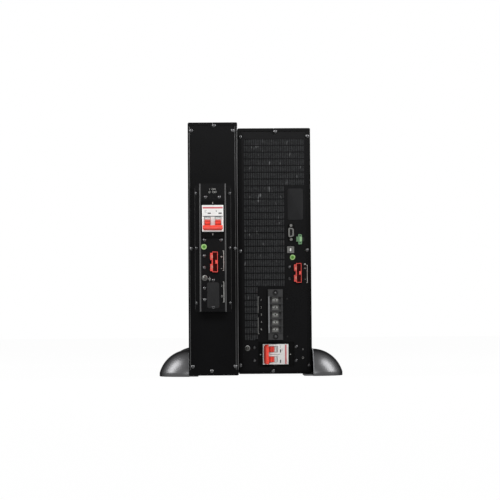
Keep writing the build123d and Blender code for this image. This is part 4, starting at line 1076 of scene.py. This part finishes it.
class UPS_OT_side_screws(bpy.types.Operator):
    """Low screws that hold the covers, along the top and bottom of the two outer side walls"""
    bl_idname = "ups.side_screws"
    bl_label = "Side screws"

    def execute(self, context):
        end, bottom, top = 35.0, 60.0, 9.0
        points, faces = screw_head(3.3, 0.7)
        shapes = []
        for wall, out, low, high in ((BATTERY_LOW.x, -1, BATTERY_LOW, BATTERY_HIGH),
                                     (UPS_RIGHT, 1, UPS_LOW, UPS_HIGH)):
            head = (np.stack([-out * points[:, 1], points[:, 0], points[:, 2]], 1), faces)
            y, z = np.meshgrid(np.linspace(low.y + end, high.y - end, 4), [low.z + bottom, high.z - top])
            shapes.append(copies(head, np.stack([np.full(y.size, wall), y.ravel(), z.ravel()], 1)))
        make_piece("side_screws", joined(*shapes), "black_zinc_steel")
        return {"FINISHED"}


class UPS_OT_front_dressing(bpy.types.Operator):
    """Liquid crystal field in the display window, status lenses under it and signs above the buttons"""
    bl_idname = "ups.front_dressing"
    bl_label = "Front dressing"

    def execute(self, context):
        ink, face, rim = size_of(context, "ink_height"), DISPLAY_HIGH.y, 7.0
        to_front = [-1, -1, 1]
        field = [DISPLAY_LOW.x + rim, DISPLAY_HIGH.x - rim, DISPLAY_LOW.z + 2 * rim, DISPLAY_HIGH.z - rim]
        make_piece("display_field", plates([field], (0, 0), face - ink, face + ink), "liquid_crystal_glass")
        points, faces = turned([[0, 0.8], [0.9, 0.65], [1.5, 0.2], [1.6, -0.1], [0, -0.1]], 24)
        across = (DISPLAY_LOW.x + DISPLAY_HIGH.x) / 2 + np.linspace(-24, 24, 4)
        places = level(np.stack([across, np.full(4, DISPLAY_LOW.z - 14)], 1), face)
        make_piece("status_lenses", copies((points * to_front, faces), places), "green_lens")
        low, high = box_of("control_buttons")
        signs = []
        for text, x in (("I", low.x + 4), ("O", high.x - 4)):
            points, faces = lettering(text, 5, 2 * ink)
            signs.append((points * to_front + [x, face, high.z + 8], faces))
        make_piece("button_signs", joined(*signs), "screen_print_ink")
        return {"FINISHED"}


def foot_profile(reach, height, skirt):
    """Section of a foot as (radius, height): a soft lower edge, an upright skirt and an arc to the top."""
    rise = height - skirt
    dome = (reach ** 2 + rise ** 2) / (2 * rise)
    middle = height - dome
    lower = FOOT_EDGE * arc(-math.pi / 2, 0, 5) + [reach - FOOT_EDGE, FOOT_EDGE]
    upper = dome * arc(math.asin((skirt - middle) / dome), math.pi / 2, 40) + [0, middle]
    return np.concatenate([[[0, 0]], lower, upper])


def foot_shape(reach, height, skirt):
    """Half dome: each level is a half circle closed by its chord, and its radius follows the foot's section;
    a flat tongue reaches under the module."""
    profile = foot_profile(reach, height, skirt)
    chord = np.linspace(1, -1, 33)[1:-1]
    unit = np.concatenate([arc(-math.pi / 2, math.pi / 2, 65), np.stack([0 * chord, chord], 1)])
    heights = np.repeat(profile[:, None, 1:], len(unit), 1)
    dome = lofted(np.concatenate([profile[:, None, :1] * unit, heights], 2))
    tongue = bars([[-TONGUE_WIDTH, 0], [-TONGUE_DEPTH / 2, TONGUE_DEPTH / 2], [0, TONGUE_THICKNESS]])
    return joined(dome, tongue)


class UPS_OT_feet(bpy.types.Operator):
    """Four domed feet with smooth flanks and thin wall flanges, in the place of the CAD feet"""
    bl_idname = "ups.feet"
    bl_label = "Feet"

    def execute(self, context):
        names = ("foot_reach", "foot_height", "foot_skirt")
        reach, height, skirt = (size_of(context, name) for name in names)
        low, high = box_of("stand_feet")
        wall, near, far = high.x - reach, low.y + reach, high.y - reach
        points, faces = foot_shape(reach, height, skirt)
        right = copies((points, faces), [(wall, near, 0), (wall, far, 0)])
        left = copies((points * [-1, 1, 1], faces), [(-wall, near, 0), (-wall, far, 0)])
        feet = make_piece("domed_feet", joined(right, left), "graphite_satin_lacquer",
                          sharp=30.0)
        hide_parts("stand_feet")
        # Flanges against the wall, pale grey: painted highlight on the lit flat of each foot
        profile = foot_profile(reach + FLANGE_MARGIN, height + FLANGE_MARGIN, skirt)
        profile = profile[profile[:, 1] > FLANGE_CLEAR]
        outline = np.concatenate([profile, profile[::-1] * [-1, 1]])
        shapes = []
        for x in (wall, -wall - FOOT_FLANGE):
            for y in (near, far):
                flat, faces = prism(outline + [y, 0], x, x + FOOT_FLANGE)
                shapes.append((flat[:, [1, 0, 2]], faces))
        make_piece("foot_flanges", joined(*shapes), "grey_moulded_polyamide")
        return {"FINISHED"}


def shown_rays(tree):
    """One for rays from the camera, in reflections and through clear pieces, and nought for all others."""
    path = add_node(tree, "ShaderNodeLightPath")
    seen = add_node(tree, "ShaderNodeMath", operation="MAXIMUM",
                    links={0: path.outputs["Is Camera Ray"], 1: path.outputs["Is Glossy Ray"]})
    shown = add_node(tree, "ShaderNodeMath", operation="MAXIMUM",
                     links={0: seen.outputs[0], 1: path.outputs["Is Transmission Ray"]})
    return shown.outputs[0]


class UPS_OT_stage(bpy.types.Operator):
    """Pale floor, white surroundings, soft studio lamps and the camera"""
    bl_idname = "ups.stage"
    bl_label = "Stage"

    def execute(self, context):
        scene = context.scene
        scene.view_settings.view_transform = "Standard"
        rear = Vector((0, BATTERY_LOW.y * MM, 0))
        self.lay_floor(scene)
        self.light_world(scene)
        self.set_lamps(scene, rear)
        self.set_camera(scene, rear)
        return {"FINISHED"}

    def lay_floor(self, scene):
        """Flat floor: white to the camera and in reflections, and it keeps the shadow of the object."""
        material = bpy.data.materials.new("studio_floor")
        material.use_nodes = True
        tree = material.node_tree
        tree.nodes.clear()
        share = add_node(tree, "ShaderNodeMath", {1: 0.98}, {0: shown_rays(tree)}, operation="MULTIPLY")
        place = add_node(tree, "ShaderNodeTexCoord").outputs["Object"]
        cloud = add_node(tree, "ShaderNodeTexNoise", {"Scale": 1.5}, {"Vector": place})
        tone = add_node(tree, "ShaderNodeValToRGB", links={"Fac": cloud.outputs["Fac"]})
        tone.color_ramp.elements[0].color = tint(scene.ups_colours.floor, 0.99)
        tone.color_ramp.elements[1].color = tint(scene.ups_colours.floor, 1.0)
        matt = add_node(tree, "ShaderNodeBsdfDiffuse", links={"Color": tone.outputs["Color"]})
        glow = add_node(tree, "ShaderNodeEmission", {"Color": (1, 1, 1, 1), "Strength": 1.0})
        mixed = add_node(tree, "ShaderNodeMixShader",
                         links={0: share.outputs[0], 1: matt.outputs[0], 2: glow.outputs[0]})
        add_node(tree, "ShaderNodeOutputMaterial", links={"Surface": mixed.outputs[0]})
        corners = rectangle(-FLOOR_HALF, FLOOR_HALF, -FLOOR_HALF, FLOOR_HALF)
        mesh = bpy.data.meshes.new("studio_floor")
        mesh.from_pydata(np.column_stack([corners, np.full(4, FLOOR_HEIGHT)]).tolist(), [], [(0, 1, 2, 3)])
        mesh.materials.append(material)
        floor = bpy.data.objects.new("studio_floor", mesh)
        scene.collection.objects.link(floor)

    def light_world(self, scene):
        """White surroundings to the camera, in reflections and through glass, and a weaker even light."""
        world = bpy.data.worlds.new("studio_surroundings")
        world.use_nodes = True
        tree = world.node_tree
        tree.nodes.clear()
        soft = add_node(tree, "ShaderNodeBackground", {"Color": (1, 1, 1, 1), "Strength": 0.18})
        white = add_node(tree, "ShaderNodeBackground", {"Color": (1, 1, 1, 1), "Strength": 1.0})
        mixed = add_node(tree, "ShaderNodeMixShader",
                         links={0: shown_rays(tree), 1: soft.outputs[0], 2: white.outputs[0]})
        add_node(tree, "ShaderNodeOutputWorld", links={"Surface": mixed.outputs[0]})
        scene.world = world

    def set_lamps(self, scene, rear):
        """Soft boxes: a tall one to each side, level with the rear, and a wide one above the camera."""
        for name, place, width, tall, power in LAMPS:
            lamp = bpy.data.lights.new(name, "AREA")
            lamp.shape = "RECTANGLE"
            lamp.size = width
            lamp.size_y = tall
            lamp.energy = power
            holder = bpy.data.objects.new(name, lamp)
            holder.location = rear + Vector(place)
            holder.rotation_euler = (Vector(LAMP_AIM) - Vector(place)).to_track_quat("-Z", "Y").to_euler()
            scene.collection.objects.link(holder)

    def set_camera(self, scene, rear):
        """Long lens low behind the object, turned slightly to the right and upwards."""
        yaw, pitch, roll = (math.radians(angle) for angle in CAMERA_ANGLES)
        forward = Vector((math.sin(yaw) * math.cos(pitch), math.cos(yaw) * math.cos(pitch), math.sin(pitch)))
        sideways = Vector((math.cos(yaw), -math.sin(yaw), 0))
        upright = sideways.cross(forward)
        right = math.cos(roll) * sideways + math.sin(roll) * upright
        up = math.cos(roll) * upright - math.sin(roll) * sideways
        camera = bpy.data.cameras.new("camera")
        camera.sensor_width = SENSOR_WIDTH
        camera.lens = SENSOR_WIDTH * FOCUS_PER_WIDTH
        camera.clip_end = 60.0
        holder = bpy.data.objects.new("camera", camera)
        turn = Matrix((right, up, -forward)).transposed().to_4x4()
        holder.matrix_world = Matrix.Translation(rear + Vector(CAMERA_PLACE)) @ turn
        scene.collection.objects.link(holder)
        scene.camera = holder


OPERATORS = (UPS_OT_finishes, UPS_OT_panel_screws, UPS_OT_small_screws, UPS_OT_earth_screws,
             UPS_OT_terminal_screws, UPS_OT_breaker_trim, UPS_OT_stickers, UPS_OT_printed_marks,
             UPS_OT_vent_panel, UPS_OT_port_details, UPS_OT_connectors, UPS_OT_box_bends,
             UPS_OT_panel_seams, UPS_OT_side_screws, UPS_OT_front_dressing, UPS_OT_feet, UPS_OT_stage)


class UPS_PT_panel(bpy.types.Panel):
    """Sidebar list of the settings and the pieces"""
    bl_idname = "UPS_PT_panel"
    bl_label = "Power supply"
    bl_space_type = "VIEW_3D"
    bl_region_type = "UI"
    bl_category = "Power supply"

    def draw(self, context):
        for group in (context.scene.ups_colours, context.scene.ups_sizes):
            box = self.layout.box()
            for name in group.__annotations__:
                box.prop(group, name)
        for operator in OPERATORS:
            self.layout.operator(operator.bl_idname)


CLASSES = (PowerSupplyColours, PowerSupplySizes) + OPERATORS + (UPS_PT_panel,)


def register():
    for item in CLASSES:
        bpy.utils.register_class(item)
    bpy.types.Scene.ups_colours = bpy.props.PointerProperty(type=PowerSupplyColours)
    bpy.types.Scene.ups_sizes = bpy.props.PointerProperty(type=PowerSupplySizes)


def unregister():
    del bpy.types.Scene.ups_sizes
    del bpy.types.Scene.ups_colours
    for item in reversed(CLASSES):
        bpy.utils.unregister_class(item)


def main():
    register()
    bpy.ops.ups.finishes()
    bpy.ops.ups.panel_screws()
    bpy.ops.ups.small_screws()
    bpy.ops.ups.earth_screws()
    bpy.ops.ups.terminal_screws()
    bpy.ops.ups.breaker_trim()
    bpy.ops.ups.stickers()
    bpy.ops.ups.printed_marks()
    bpy.ops.ups.vent_panel()
    bpy.ops.ups.port_details()
    bpy.ops.ups.connectors()
    bpy.ops.ups.box_bends()
    bpy.ops.ups.panel_seams()
    bpy.ops.ups.side_screws()
    bpy.ops.ups.front_dressing()
    bpy.ops.ups.feet()
    bpy.ops.ups.stage()


if __name__ == "__main__":
    main()
